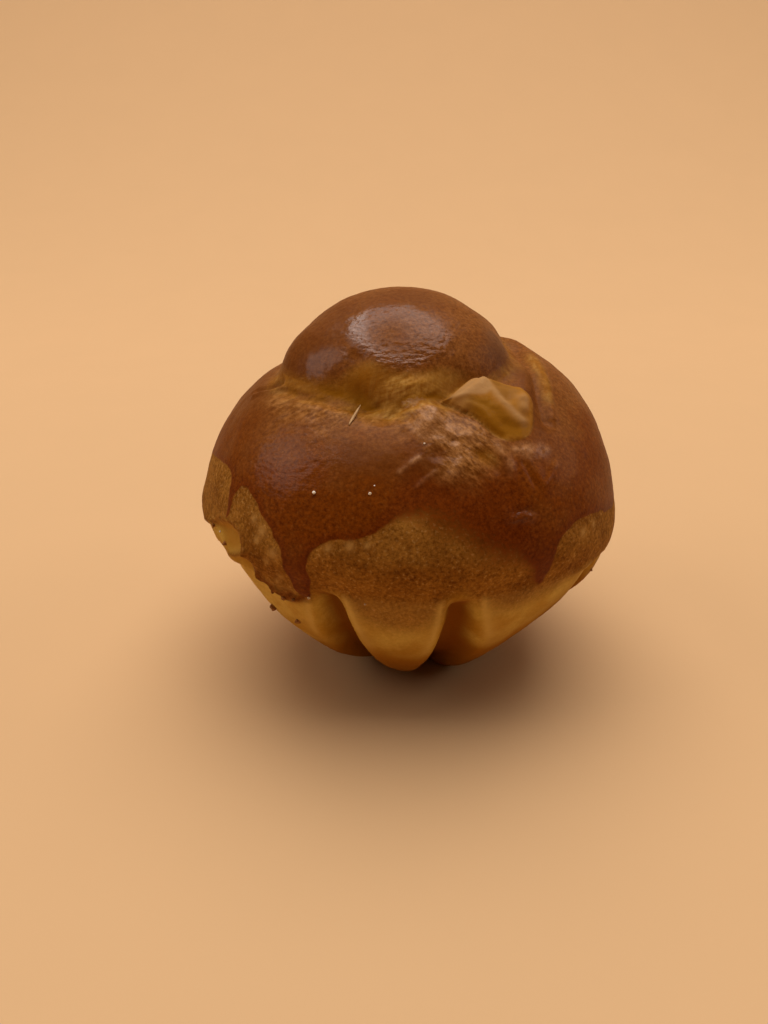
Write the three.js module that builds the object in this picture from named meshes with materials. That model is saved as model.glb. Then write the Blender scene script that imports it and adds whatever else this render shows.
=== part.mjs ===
// A brioche bun with a head: one piece of dough, baked in a fluted tin.
//
// The skin is one closed surface around a core point on the axis: every direction, given by an
// azimuth and an elevation, has one distance from the core to the skin. A domed body, a fluted
// wall, a round head and a burst of dough are blended into that distance.
//
// Millimetres and degrees, +Z up. Azimuth 0 faces -Y and azimuth 90 faces +X. The origin is on
// the surface that the bun stands on, below the core.

import * as THREE from 'three';
import { mergeVertices } from 'three/addons/utils/BufferGeometryUtils.js';

const { clamp, degToRad, lerp, radToDeg, smoothstep } = THREE.MathUtils;

// Core point, level with the rim that the tin left on the dough
const CORE_HEIGHT = 34.7;

// Body: a domed upper half that rose out of the tin, and a steep skirt below the core
const BODY_RADIUS = 41.8;
const DOME_RISE = 34;
const SKIRT_DROP = 60;
const DOME_POWER = 2.1;

// Wall: the lower half that the tin shaped, from the base up to the rim
const BASE_RADIUS = 14.5;
const RIM_RADIUS = 42.6;
const RIM_HEIGHT = 33.7;
const WALL_BULGE = 4.2;
const BASE_OFFSET = { x: 3.2, y: 0.4 };
const RIM_OFFSET_SHARE = 0.5;
const BASE_EDGE_BLEND = 1.2;
const WALL_TOP_ELEVATION = 25;
const LEAST_SLOPE = 0.05;

// Where dome and wall meet, they blend softly at the front and tightly elsewhere
const RIM_BLEND = 3;
const FRONT_BLEND = 6;
const FRONT_AZIMUTH = 8;
const FRONT_SPREAD = 48;

// Flutes: lobes between grooves that narrow on their way up and fade out below the rim
const FLUTES = 9;
const LOBE_AZIMUTH = -2.5;
const GROOVE_DEPTH = { base: 4.2, rim: 5.6 };
const GROOVE_FADE = { from: 0.84, to: 1 };
const GROOVE_SHARPNESS = { base: 1.2, rim: 10, taper: 3 };
const GROOVE_LEAN = { turn: 4.5, azimuth: 14, spread: 12 };
const GROOVE_UNEVEN = { share: 0.25, azimuth: -7 };
const FLUTE_WANDER = { turn: 0.25, phase: 1 };

// Rolled ledge where the dough swelled over the tin's edge: azimuth, spread and how far it stands out
const LEDGE_HEIGHT = 31.5;
const LEDGE_STEP = { below: 0.7, above: 0.6 };
const LEDGE_FADE = { from: 1.5, to: 11 };
const LEDGE_LEAST = 0.1;
const LEDGES = [
  { azimuth: -75, spread: 42, out: 1.3 },
  { azimuth: 80, spread: 40, out: 0.7 },
  { azimuth: 180, spread: 45, out: 0.6 },
];

// Head: a round knob with a fuller cheek on its left, and a crease where it sits in the body
const HEAD = { centre: [-1.6, -0.5, 56.2], radii: [24.6, 25, 21.3] };
const CHEEK = { centre: [-11.6, -6.5, 57.4], radii: [15.7, 14.5, 15.2] };
const CHEEK_BLEND = 2.5;
const HEAD_BLEND = 1.6;
const HEAD_CREASE = { depth: 1.3, width: 2.4, lowest: 17 };

// Burst: a pillow of pale dough pushed out of the crease at the front right, by its outline
const BURST_OUTLINE = [
  [15, 48.5], [20, 51.2], [26.5, 53.3], [31, 53.6], [36, 52.9], [41, 50.8], [45, 48], [47.2, 45], [46.4, 42],
  [43.5, 39.6], [40, 37], [36, 34.6], [30, 34.2], [25.3, 36], [23.4, 39.3], [21, 42.4], [17.5, 45.2],
  [15, 48.5],
];
const BURST_RISE = { low: 0.8, high: 2.6, from: 34, to: 48 };
const BURST_EDGE = 4;
const BURST_BRIDGE = { blend: 2.5, from: -2.5, to: 2.5 };

// Seam that runs from behind the head down past the burst's right end
const SEAM = [[112, 56], [97, 53.6], [80, 52.6], [67.5, 50.3], [59.5, 47], [53.5, 43.5], [47, 37]];
const SEAM_CREASE = { depth: 0.9, width: 3.4 };

// A chord on the sphere of directions, as millimetres near the skin
const SKIN_REACH = 40;

// Broad lumps and hollows: azimuth, elevation, spread in degrees, height
const BODY_LUMPS = [
  [-42, 16, 26, 0.9],
  [40, 12, 24, 0.8],
  [4, 26, 13, -0.9],
  [92, 42, 26, 1.7],
  [100, 8, 26, -0.8],
  [150, 30, 30, 0.6],
  [-140, 25, 28, 0.5],
  [-100, 30, 26, 0.2],
  [-64, 49, 15, 1.7],
  [-12, 45, 9, -1.2],
];
const SKIN_LUMPS = [
  [-14.6, 50, 5, -1.2],
  [4, 57, 7, -0.8],
  [2, 49, 6, 0.9],
  [64, 54, 10, 0.9],
  [85, 64, 13, -1.1],
  [54, -36, 19, -3.2],
  [118, 56, 9, 2.1],
];

// Facets: columns crowd towards the burst's azimuth, and rows where the creases are
const COLUMNS = 116;
const COLUMN_CROWD = { share: 0.35, azimuth: 25 };
const ROWS = 50;
const ROW_STOPS = [
  [0, -90],
  [3 / ROWS, -68],
  [6 / ROWS, -54],
  [13 / ROWS, -14],
  [19 / ROWS, 8],
  [24 / ROWS, 26],
  [44 / ROWS, 72],
  [1, 90],
];

// Crust as one material
const CRUST_COLOUR = 0x8a4a1c;
const CRUST_ROUGHNESS = 0.45;

function smoothMin(a, b, blend) {
  const mix = clamp(0.5 + (0.5 * (b - a)) / blend, 0, 1);
  return b * (1 - mix) + a * mix - blend * mix * (1 - mix);
}

function smoothMax(a, b, blend) {
  return -smoothMin(-a, -b, blend);
}

// A crease profile: full depth at the line, gone a few widths away
function crease(distance, { depth, width }) {
  return depth * Math.exp(-((distance / width) ** 2));
}

function direction(azimuth, elevation) {
  const turn = degToRad(azimuth);
  const rise = degToRad(elevation);
  return new THREE.Vector3(
    Math.cos(rise) * Math.sin(turn),
    -Math.cos(rise) * Math.cos(turn),
    Math.sin(rise),
  );
}

// Difference of two azimuths, from -180 to 180
function azimuthGap(a, b) {
  return THREE.MathUtils.euclideanModulo(a - b + 180, 360) - 180;
}

// A plateau around an azimuth with soft shoulders
function azimuthBand(azimuth, centre, spread) {
  return Math.exp(-((azimuthGap(azimuth, centre) / spread) ** 4));
}

function lumpHeight(toward, lumps) {
  return lumps.reduce((sum, [azimuth, elevation, spread, height]) => {
    const apart = radToDeg(toward.angleTo(direction(azimuth, elevation)));
    return sum + crease(apart, { depth: height, width: spread });
  }, 0);
}

// Where a ray from the core leaves an ellipsoid, or 0 where it misses
function ellipsoidDistance(ray, start, radii) {
  const scale = new THREE.Vector3(1 / radii[0], 1 / radii[1], 1 / radii[2]);
  const from = start.clone().multiply(scale);
  const along = ray.clone().multiply(scale);
  const square = along.lengthSq();
  const half = along.dot(from);
  const reach = half * half - square * (from.lengthSq() - 1);
  return reach > 0 ? (Math.sqrt(reach) - half) / square : 0;
}

function roundDistance(toward, { centre, radii }) {
  const start = new THREE.Vector3(-centre[0], -centre[1], CORE_HEIGHT - centre[2]);
  return ellipsoidDistance(toward, start, radii);
}

function domeDistance(elevation) {
  const rise = degToRad(elevation);
  const height = rise >= 0 ? DOME_RISE : SKIRT_DROP;
  const across = (Math.cos(rise) / BODY_RADIUS) ** DOME_POWER;
  const up = (Math.abs(Math.sin(rise)) / height) ** DOME_POWER;
  return (across + up) ** (-1 / DOME_POWER);
}

// How deep a groove is, from 0 on a lobe to 1 in a groove's middle
function grooveShare(azimuth, share) {
  const turn = degToRad(azimuth);
  const wander = FLUTE_WANDER.turn * Math.sin(2 * turn + FLUTE_WANDER.phase);
  const lean = GROOVE_LEAN.turn * share * azimuthBand(azimuth, GROOVE_LEAN.azimuth, GROOVE_LEAN.spread);
  const wave = 0.5 - 0.5 * Math.cos(FLUTES * degToRad(azimuth + lean - LOBE_AZIMUTH) + wander);
  const { base, rim, taper } = GROOVE_SHARPNESS;
  return wave ** lerp(base, rim, share ** taper);
}

function wallDistance(azimuth, elevation) {
  const turn = degToRad(azimuth);
  const rise = degToRad(elevation);
  const offset = BASE_OFFSET.x * Math.sin(turn) - BASE_OFFSET.y * Math.cos(turn);
  const baseRadius = BASE_RADIUS + offset;
  const flare = (RIM_RADIUS + RIM_OFFSET_SHARE * offset - baseRadius) / RIM_HEIGHT;
  const slope = Math.max(Math.cos(rise) - flare * Math.sin(rise), LEAST_SLOPE);
  const straight = (baseRadius + flare * CORE_HEIGHT) / slope;
  const level = (CORE_HEIGHT + straight * Math.sin(rise)) / RIM_HEIGHT;
  const share = clamp(level, 0, 1);
  const bulge = WALL_BULGE * 4 * share * (1 - share);
  const fade = 1 - smoothstep(level, GROOVE_FADE.from, GROOVE_FADE.to);
  const uneven = 1 - GROOVE_UNEVEN.share * (1 - Math.cos(2 * degToRad(azimuth - GROOVE_UNEVEN.azimuth)));
  const depth = fade * uneven * lerp(GROOVE_DEPTH.base, GROOVE_DEPTH.rim, share);
  return straight + bulge - depth * grooveShare(azimuth, share);
}

function ledgeOut(azimuth, height) {
  const out = LEDGES.reduce(
    (sum, ledge) => sum + ledge.out * azimuthBand(azimuth, ledge.azimuth, ledge.spread),
    LEDGE_LEAST,
  );
  const above = height - LEDGE_HEIGHT;
  const step = smoothstep(above, -LEDGE_STEP.below, LEDGE_STEP.above);
  return out * step * (1 - smoothstep(above, LEDGE_FADE.from, LEDGE_FADE.to));
}

function bodyDistance(azimuth, elevation, toward) {
  const dome = domeDistance(elevation) + lumpHeight(toward, BODY_LUMPS);
  if (elevation > WALL_TOP_ELEVATION) return dome;
  const blend = RIM_BLEND + FRONT_BLEND * azimuthBand(azimuth, FRONT_AZIMUTH, FRONT_SPREAD);
  const body = smoothMin(dome, wallDistance(azimuth, elevation), blend);
  return body + ledgeOut(azimuth, CORE_HEIGHT + body * Math.sin(degToRad(elevation)));
}

// Distance from a line of azimuths and elevations, in millimetres near the skin
function lineGap(toward, corners) {
  let nearest = Infinity;
  for (let i = 1; i < corners.length; i += 1) {
    const line = new THREE.Line3(direction(...corners[i - 1]), direction(...corners[i]));
    const foot = line.closestPointToPoint(toward, true, new THREE.Vector3());
    nearest = Math.min(nearest, foot.distanceTo(toward));
  }
  return nearest * SKIN_REACH;
}

// How far a direction lies inside a closed outline, negative outside it
function outlineGap(azimuth, elevation, toward, corners) {
  let inside = false;
  const fromFront = azimuthGap(azimuth, 0);
  for (let i = 1; i < corners.length; i += 1) {
    const [turn, rise] = corners[i - 1];
    const [nextTurn, nextRise] = corners[i];
    if (rise > elevation === nextRise > elevation) continue;
    const crossing = THREE.MathUtils.mapLinear(elevation, rise, nextRise, turn, nextTurn);
    if (fromFront < crossing) inside = !inside;
  }
  return (inside ? 1 : -1) * lineGap(toward, corners);
}

// How far the burst's pillow stands out, from its outline inwards
function burstRise(elevation, inside) {
  const full = lerp(BURST_RISE.low, BURST_RISE.high, smoothstep(elevation, BURST_RISE.from, BURST_RISE.to));
  const share = clamp(inside / BURST_EDGE, 0, 1);
  return full * (1 - (1 - share) ** 2);
}

function skinDistance(azimuth, elevation) {
  const toward = direction(azimuth, elevation);
  const body = bodyDistance(azimuth, elevation, toward);
  const head = smoothMax(roundDistance(toward, HEAD), roundDistance(toward, CHEEK), CHEEK_BLEND);
  let skin = smoothMax(body, head, HEAD_BLEND);
  if (elevation > HEAD_CREASE.lowest) skin -= crease(head - body, HEAD_CREASE);
  skin += lumpHeight(toward, SKIN_LUMPS) - crease(lineGap(toward, SEAM), SEAM_CREASE);

  const inside = outlineGap(azimuth, elevation, toward, BURST_OUTLINE);
  const bridge = smoothMax(body, head, BURST_BRIDGE.blend);
  const bridged = smoothstep(inside, BURST_BRIDGE.from, BURST_BRIDGE.to);
  skin = lerp(skin, bridge, bridged) + burstRise(elevation, inside);

  if (elevation >= 0) return skin;
  const floor = CORE_HEIGHT / Math.sin(degToRad(-elevation));
  return Math.min(smoothMin(skin, floor, BASE_EDGE_BLEND), floor);
}

// Elevation of a row, from its share of the way from the base to the top
function rowElevation(share) {
  const next = Math.max(ROW_STOPS.findIndex(([stop]) => stop >= share), 1);
  const [startShare, startElevation] = ROW_STOPS[next - 1];
  const [endShare, endElevation] = ROW_STOPS[next];
  return THREE.MathUtils.mapLinear(share, startShare, endShare, startElevation, endElevation);
}

// Azimuth of a column, from its azimuth among evenly spaced ones
function columnAzimuth(even) {
  const pull = COLUMN_CROWD.share * Math.sin(degToRad(even - COLUMN_CROWD.azimuth));
  return even - radToDeg(pull);
}

// A unit sphere whose points are moved out to the skin
function bunGeometry() {
  const sphere = new THREE.SphereGeometry(1, COLUMNS, ROWS).rotateX(Math.PI / 2);
  sphere.deleteAttribute('uv');
  sphere.deleteAttribute('normal');
  const geometry = mergeVertices(sphere);
  const positions = geometry.getAttribute('position');
  const point = new THREE.Vector3();
  for (let i = 0; i < positions.count; i += 1) {
    point.fromBufferAttribute(positions, i);
    const azimuth = columnAzimuth(radToDeg(Math.atan2(point.x, -point.y)));
    const elevation = rowElevation(0.5 + Math.asin(clamp(point.z, -1, 1)) / Math.PI);
    point.copy(direction(azimuth, elevation)).multiplyScalar(skinDistance(azimuth, elevation));
    positions.setXYZ(i, point.x, point.y, point.z + CORE_HEIGHT);
  }
  geometry.computeVertexNormals();
  return geometry;
}

const crust = new THREE.MeshStandardMaterial({
  color: CRUST_COLOUR,
  roughness: CRUST_ROUGHNESS,
  metalness: 0,
});

const brioche = new THREE.Mesh(bunGeometry(), crust);
brioche.name = 'brioche';

const bun = new THREE.Group();
bun.add(brioche);

export default bun;
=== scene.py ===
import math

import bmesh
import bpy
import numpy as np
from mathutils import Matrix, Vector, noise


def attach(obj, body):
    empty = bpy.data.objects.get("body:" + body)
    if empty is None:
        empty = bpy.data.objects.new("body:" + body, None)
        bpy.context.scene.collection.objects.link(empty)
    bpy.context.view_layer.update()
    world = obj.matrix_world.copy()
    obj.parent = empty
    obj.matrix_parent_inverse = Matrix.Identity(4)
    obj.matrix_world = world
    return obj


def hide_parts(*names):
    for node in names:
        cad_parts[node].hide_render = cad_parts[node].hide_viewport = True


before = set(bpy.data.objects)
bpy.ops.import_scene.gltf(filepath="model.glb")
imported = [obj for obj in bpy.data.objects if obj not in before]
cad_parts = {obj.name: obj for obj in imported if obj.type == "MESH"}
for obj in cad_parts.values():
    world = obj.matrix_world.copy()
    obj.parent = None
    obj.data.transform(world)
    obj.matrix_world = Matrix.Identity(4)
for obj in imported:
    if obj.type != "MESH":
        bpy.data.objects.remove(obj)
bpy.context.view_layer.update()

# A brioche bun with a head, dressed over its solid.
#
# The crust repeats the solid's form at a finer resolution and carries the relief of the baked skin in
# its mesh. Measures are in millimetres and degrees, as in the solid, until a mesh is made in metres.
# Azimuth 0 faces -Y and azimuth 90 faces +X. Elevation is seen from the core point on the axis.

MM = 0.001

# Core point, level with the rim that the tin left on the dough
CORE_HEIGHT = 34.7
CORE = np.array([0.0, 0.0, CORE_HEIGHT])

# Body: a domed upper half that rose out of the tin, and a steep skirt below the core
BODY_RADIUS = 41.8
DOME_RISE = 34
SKIRT_DROP = 60
DOME_POWER = 2.1

# Wall: the lower half that the tin shaped, from the base up to the rim
BASE_RADIUS = 14.5
RIM_RADIUS = 42.6
RIM_HEIGHT = 33.7
WALL_BULGE = 4.2
BASE_OFFSET = (3.2, 0.4)
RIM_OFFSET_SHARE = 0.5
BASE_EDGE_BLEND = 1.2
WALL_TOP_ELEVATION = 25
LEAST_SLOPE = 0.05
LEAST_DIP = 0.01

# Where dome and wall meet, they blend softly at the front and tightly elsewhere
RIM_BLEND = 3
FRONT_BLEND = 6
FRONT_AZIMUTH = 8
FRONT_SPREAD = 48

# Flutes: round lobes between narrow grooves that fade out below the rim
FLUTES = 9
LOBE_AZIMUTH = -2.5
GROOVE_DEPTH_BASE = 4.2
GROOVE_DEPTH_RIM = 5.6
GROOVE_FADE = (0.84, 1.0)
GROOVE_SHARPNESS = (1.2, 12)
GROOVE_TAPER = 3
GROOVE_EDGE = (0.2, 0.8)
GROOVE_CRISP = 0.5
GROOVE_LEAN = 4.5
GROOVE_LEAN_BAND = (14, 12)
GROOVE_UNEVEN = 0.25
GROOVE_UNEVEN_AZIMUTH = -7
FLUTE_WANDER = 0.25
FLUTE_WANDER_PHASE = 1

# Rolled ledge where the dough swelled over the tin's edge: azimuth, spread, how far it stands out
LEDGE_HEIGHT = 31.5
LEDGE_STEP = (-0.7, 0.6)
LEDGE_FADE = (1.5, 11)
LEDGE_LEAST = 0.1
LEDGES = [(-75, 42, 1.3), (80, 40, 0.7), (180, 45, 0.6)]

# Head: a round knob with a fuller cheek on its left, and a crease where it sits in the body
HEAD = ((-1.6, -0.5, 56.2), (24.6, 25, 21.3))
CHEEK = ((-11.6, -6.5, 57.4), (15.7, 14.5, 15.2))
CHEEK_BLEND = 2.5
HEAD_BLEND = 1.6
HEAD_CREASE_DEPTH = 1.3
HEAD_CREASE_WIDTH = 2.4
HEAD_CREASE_LOWEST = 17

# Burst: a pillow of pale dough pushed out of the crease at the front right, by its outline
BURST_OUTLINE = [
    (11.3, 49.3), (16, 51), (21.5, 53), (26.5, 54.3), (31, 54.1), (36, 53.1), (41, 51), (45, 48.2),
    (47.2, 45), (46.4, 42), (43.5, 39.6), (40, 37), (36, 34.6), (30, 34.2), (25.3, 36), (23.4, 39.3),
    (21, 42.4), (17.9, 44.8), (14.4, 47.4),
]
BURST_RISE = (0.6, 1.9)
BURST_RISE_ELEVATIONS = (34, 48)
BURST_TIP = (11, 22)
BURST_EDGE = 3.2
BURST_BRIDGE = 2
BURST_CREASE_DEPTH = 0.35
BURST_CREASE_WIDTH = 1.1
BURST_BRIDGE_EDGE = (-0.5, 1.5)

# Seam that runs from behind the head down past the burst's right end
SEAM = [(112, 56), (97, 53.6), (80, 52.6), (67.5, 50.3), (59.5, 47), (53.5, 43.5), (47, 37)]
SEAM_DEPTH = 1.1
SEAM_WIDTH = 1.5

# A chord on the sphere of directions, as millimetres near the skin
SKIN_REACH = 40

# Cut of a line's corners, fold of the noise into ridges, and how its octaves shrink
CORNER_CUT = 0.25
RIDGE_FOLD = 2.4
NOISE_SMOOTHNESS = 1.0
NOISE_STEP = 2.0

# Broad lumps and hollows: azimuth, elevation, spread in degrees, height
BODY_LUMPS = [
    (-42, 16, 26, 0.9),
    (40, 12, 24, 0.8),
    (4, 26, 13, -0.9),
    (92, 42, 26, 1.7),
    (100, 8, 26, -0.8),
    (150, 30, 30, 0.6),
    (-140, 25, 28, 0.5),
    (-100, 30, 26, 0.2),
    (-64, 49, 15, 1.7),
    (-12, 45, 9, -1.2),
]
SKIN_LUMPS = [
    (-14.6, 50, 5, -1.2),
    (4, 57, 7, -0.8),
    (2, 49, 6, 0.9),
    (64, 54, 10, 0.9),
    (85, 64, 13, -1.1),
    (54, -36, 19, -3.2),
    (118, 56, 9, 2.1),
]

# Small lumps and hollows of the pulled dough, finer than the solid carries
FINE_LUMPS = [
    (-41, 48.5, 4, 0.4),
    (-22, 48.5, 3.5, -0.8),
    (-1.6, 44.4, 1.8, -0.35),
    (-3.8, 39, 1.4, -0.25),
    (27, 41, 4.5, 0.5),
    (34, 37, 2.6, 0.3),
    (40.5, 44, 1.3, 0.3),
    (42.4, 46.6, 1.2, 0.25),
    (38.4, 41.4, 1.3, 0.25),
]

# Swellings and hollows with a clear outline: azimuths and elevations, width of the edge, height
BURST_LID = [
    (13, 49.2), (18, 51), (24, 53.2), (29.5, 53.8), (31.5, 51.5), (30.2, 48.6), (27.1, 46.8), (21.2, 47.9),
    (17, 48.2),
]
BURST_POUCH = [(32.5, 52), (38, 51.2), (43, 48.6), (42, 46), (37.6, 44.3), (33.2, 43.4), (31.4, 47)]
BURST_KNOB = [(38.4, 45), (42.9, 45.6), (43.4, 42.8), (39.1, 39.6), (35.7, 40.9)]
BURST_HOLLOW = [
    (17.5, 47.6), (20.8, 47.8), (26.6, 46.2), (28.8, 44.1), (30.5, 41.4), (33.8, 38.8), (39, 37.5), (37, 35),
    (31, 35), (26.4, 36.6), (24.6, 39.6), (22.6, 42.7), (19.8, 45.2),
]
MIDDLE_LUMP = [
    (-13, 52.5), (-9.7, 54.8), (-2, 56), (7.5, 56.3), (8.7, 53.5), (2.4, 51), (-6, 50.8), (-11, 51),
]
SECOND_LUMP = [
    (-6.2, 45.4), (-1.7, 48.4), (4.3, 49), (10, 47.9), (11.3, 45), (9.8, 41.3), (6, 38.6), (1.8, 39.2),
    (-1, 42.8),
]
FIRST_POCKET = [(5.6, 35.6), (9.1, 35.4), (8.9, 32.3), (5.7, 31), (3.6, 33.1)]
SECOND_POCKET = [(16.9, 33.7), (21.3, 34), (23.9, 30.7), (23.4, 26.9), (20.4, 26.9), (17.6, 30.6)]
SIDE_LUMP = [(31.8, 26.8), (36.6, 26), (33, 21.8)]
UPPER_FACET = [(-60, 6), (-52.5, 8.6), (-46, 8), (-44, 5.2), (-45.5, 2.9), (-51, 0.2), (-55.5, 3.2)]
LOWER_FACET = [(-49.5, -0.8), (-44.5, 2), (-42.3, 1.6), (-41.8, -1.2), (-44.6, -3)]
SWELLING_FOOT = -0.7
SWELLINGS = {
    "burst lid": (BURST_LID, 1.6, 0.2),
    "burst pouch": (BURST_POUCH, 1.4, -0.5),
    "burst knob": (BURST_KNOB, 1.0, 0.3),
    "burst hollow": (BURST_HOLLOW, 2.2, -0.6),
    "first pocket": (FIRST_POCKET, 1.6, -0.45),
    "second pocket": (SECOND_POCKET, 1.6, -0.6),
    "side lump": (SIDE_LUMP, 1.2, 0.25),
    "middle lump": (MIDDLE_LUMP, 3.0, 0.6),
    "second lump": (SECOND_LUMP, 2.4, 0.9),
    "upper facet": (UPPER_FACET, 1.6, -0.6),
    "lower facet": (LOWER_FACET, 1.2, -0.5),
}

# Folds in the skin: a line of azimuths and elevations, then width and height
BURST_TOP = [(13, 49.2), (20, 51), (26.5, 52.6), (31, 52.6), (37.5, 50.8), (44, 47.6), (46, 44.5)]
BURST_HEM = [(19.6, 44.5), (22.1, 42.4), (22.9, 40.5), (24.3, 37.8), (26.5, 36)]
BURST_FOLD = [(30.3, 52.6), (30.7, 49.8), (31.6, 44.8), (34.1, 40.6), (36, 38.6)]
COLLAR_LIP = [(97, 51), (83, 50.8), (70.5, 48.6), (62.8, 45.5), (57, 42), (51, 36.5)]
FACET_RIDGE = [(-53, -1), (-50.5, -0.3), (-45, 2.5), (-43.2, 3.6)]
FOLDS = {
    "burst top": (BURST_TOP, 0.8, 0.1),
    "burst fold": (BURST_FOLD, 0.55, 0.1),
    "burst hem": (BURST_HEM, 0.6, -0.3),
    "lid fold": ([(14, 48.8), (19, 49.8), (25, 51.6), (29, 52.8)], 0.4, -0.3),
    "left crease": ([(-58, 44.5), (-45, 45), (-36, 45.5), (-28, 44.6), (-22, 46), (-15.5, 48.2)], 0.7, -0.3),
    "left lip": ([(-46, 42.5), (-30, 42.3), (-22, 44.2), (-14.5, 46.5)], 0.9, 0.25),
    "collar lip": (COLLAR_LIP, 1.1, 0.5),
    "middle valley": ([(-15.5, 48.7), (-6, 50), (2.5, 50), (10.5, 51.3)], 0.8, -0.15),
    "second valley": ([(-10, 45), (-6.5, 48)], 0.8, -0.45),
    "facet ridge": (FACET_RIDGE, 0.6, 0.7),
    "left tear": ([(-70, 38.5), (-64, 42), (-60, 45)], 0.6, 0.45),
    "left tear shade": ([(-74, 39.5), (-67, 43), (-63, 46)], 0.7, -0.5),
    "flank streak": ([(-28, 58), (-25.5, 54.5), (-24, 51.5)], 1.4, -0.45),
    "side fold": ([(30.6, 28.4), (31.2, 25.6), (31.6, 22.8)], 0.4, -0.35),
    "dent": ([(24.4, 17.9), (26.6, 17.9), (29.6, 17.7)], 0.5, -0.4),
    "dent lip": ([(24.8, 16.6), (27.1, 16.7), (29.6, 15.6)], 0.5, 0.3),
}

# Underbaked skin of the burst: how each part's border fades, and where its skin is papery or shaded
BURST_SKIN_EDGE = (-0.5, 0.4)
BURST_END_AZIMUTHS = (36, 45)
BURST_END_FOOT = (36, 40)
BURST_END_TOP = (48, 44)
BURST_END_SOFTER = 2.5
LID_EDGE = (-0.3, 0.6)
KNOB_EDGE = (-0.8, 1.2)
HOLLOW_EDGE = (-0.4, 0.7)
POUCH_EDGE = (-0.3, 0.9)
PAPER_FOLD_WIDTH = 0.9
PAPERY_SHARES = {"fold": 0.45, "lid": 0.45, "knob": 0.35, "pouch": 0.1, "end": 0.25}
PAPERY_MOST = 0.5
PAPERY_EDGE = (-0.6, 0.8)
BURST_END = (17.5, 47.2, 2.5)
POUCH_BOTTOM = (34.2, 45.5, 2.2)
POUCH_SHADE = (0.6, 1.0)
HOLLOW_SHADE = 0.7
HOLLOW_SHADE_ELEVATIONS = (47, 40)
HEM_SHADE = 0.8
HEM_SHADE_WIDTH = 0.8
SHADE_EDGE = (-0.2, 0.3)
BURST_COVER = (-0.5, 1)
BURST_SURROUNDS = (0.3, -0.6)
BURST_CRUMPLE = 0.04

# Ridges that fan out below the crease where the dough tore: line, width, height
FIRST_RIDGE = [
    (-2.5, 49.4), (1.7, 50), (5, 46.6), (7.8, 44.7), (9, 41.3), (11.2, 39.3), (14.1, 38), (17.1, 37),
]
FAN_RIDGES = [
    (FIRST_RIDGE, 1.1, 0.35),
    ([(-4.2, 29.2), (-1.8, 31), (1, 32.7)], 0.45, 0.15),
    ([(-0.6, 25), (1.4, 26.4), (3.4, 27.9), (5.4, 29.3)], 0.36, 0.16),
    ([(12.3, 35.1), (12.4, 33.3), (12, 30.8), (10.3, 28.6), (8.2, 26.1)], 0.9, 0.3),
    ([(24.9, 33.3), (26.3, 31.1), (26.3, 27.9), (25.6, 24.7)], 0.8, 0.2),
    ([(40.9, 25.8), (37.5, 24), (34.3, 22.3)], 0.45, 0.25),
]
RIDGE_FADE_ELEVATIONS = (24, 33)
RIDGE_GLOSS = 0.2

# Crumpled patches of thin skin on either side of the fan
CRUMPLED_LUMPS = [
    (-4.1, 48.8), (0.4, 50.3), (6.3, 48.5), (9, 44.9), (10.7, 41.1), (11.5, 37.9), (7.4, 36), (3, 37.3),
    (-1, 39.5), (-2.3, 43.3),
]
CRUMPLED_HEM = [
    (27.5, 33.4), (32.5, 33.2), (36.7, 32.1), (41.9, 30.5), (39.4, 28.4), (32.8, 29.2), (28.3, 30.8),
]
CRUMPLED_EDGE = (-1, 1.5)
CRUMPLE_SIZE = 1.9
CRUMPLE_HEIGHT = 0.12

# A place painted bright as a highlight and a dark one among those lumps: azimuth, elevation, spread in
# degrees
HIGHLIGHT_LUMP = (3.2, 41, 2.5)
HIGHLIGHT_LUMP_SHARE = 0.7
DARK_LUMP = (0.1, 44.3, 2)

# Tan with its painted sheen comes and goes in patches: size of a patch, noise at which it starts and is full,
# least and full share
TAN_PATCH_SIZE = 1.8
TAN_PATCH_EDGE = (-0.5, 0.5)
TAN_SHARES = (0.25, 1.0)

# Crease between head and body where the dough stayed moist and dark, partly painted shade
CREASE_LINE = [
    (-57, 45.8), (-41, 45.8), (-29, 44.6), (-22.5, 45), (-19.9, 46.5), (-14.8, 48.8), (-4.2, 49.8),
    (2.3, 49.8), (8.9, 51.3), (14, 50.3),
]
CREASE_WIDTH = 0.9
CREASE_POCKETS = [(-22, 49, 4), (-34, 48, 5), (-41, 48.3, 4)]
CREASE_POCKET_SHARE = 0.7
CREASE_LUMP = (-11.5, 50.3, 4)
CREASE_LUMP_COVER = 0.85
CREASE_LUMP_PALE = 0.45

# Underbaked dough, most of it at the front: shares and widths at the back and at the front
RAW_FRONT = (-12, 50)
RAW_FLANK_SHARES = (0.1, 1.0)
RAW_FLANK_FOOT = (-1, 0.5)
RAW_LIP_WIDTHS = (1.2, 2.2)
RAW_LIP_SHARES = (0.4, 0.9)
RAW_LIP_TOP = 1
RAW_LIP_PATCH_SIZE = 2.5
RAW_LIP_PATCH_EDGE = (-0.4, 0.5)
RAW_LIP_PATCH_SHARES = (0.3, 0.9)
RAW_SEAM_SHARE = 0.5
RAW_SEAM_WIDTH = 0.9
RAW_SEAM_ELEVATIONS = (38, 43)
RAW_SEAM_AZIMUTHS = (99, 80)
RAW_POCKET_SHARE = 0.5
RAW_POCKET_EDGE = (-0.6, 1)
RAW_POCKET_ELEVATIONS = (28, 33)

# The head's flank above the crease, with the lumps at its front and a spot of painted light
FLANK_EDGE = (-0.5, 1)
FLANK_STRANDS = 0.5
FLANK_SMOOTH = 0.75
FLANK_LUMPS = (-3, 53, 8)
FLANK_LIT_SPOT = (14.5, 55, 5)
FLANK_LIT_SHARE = 0.5

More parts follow.
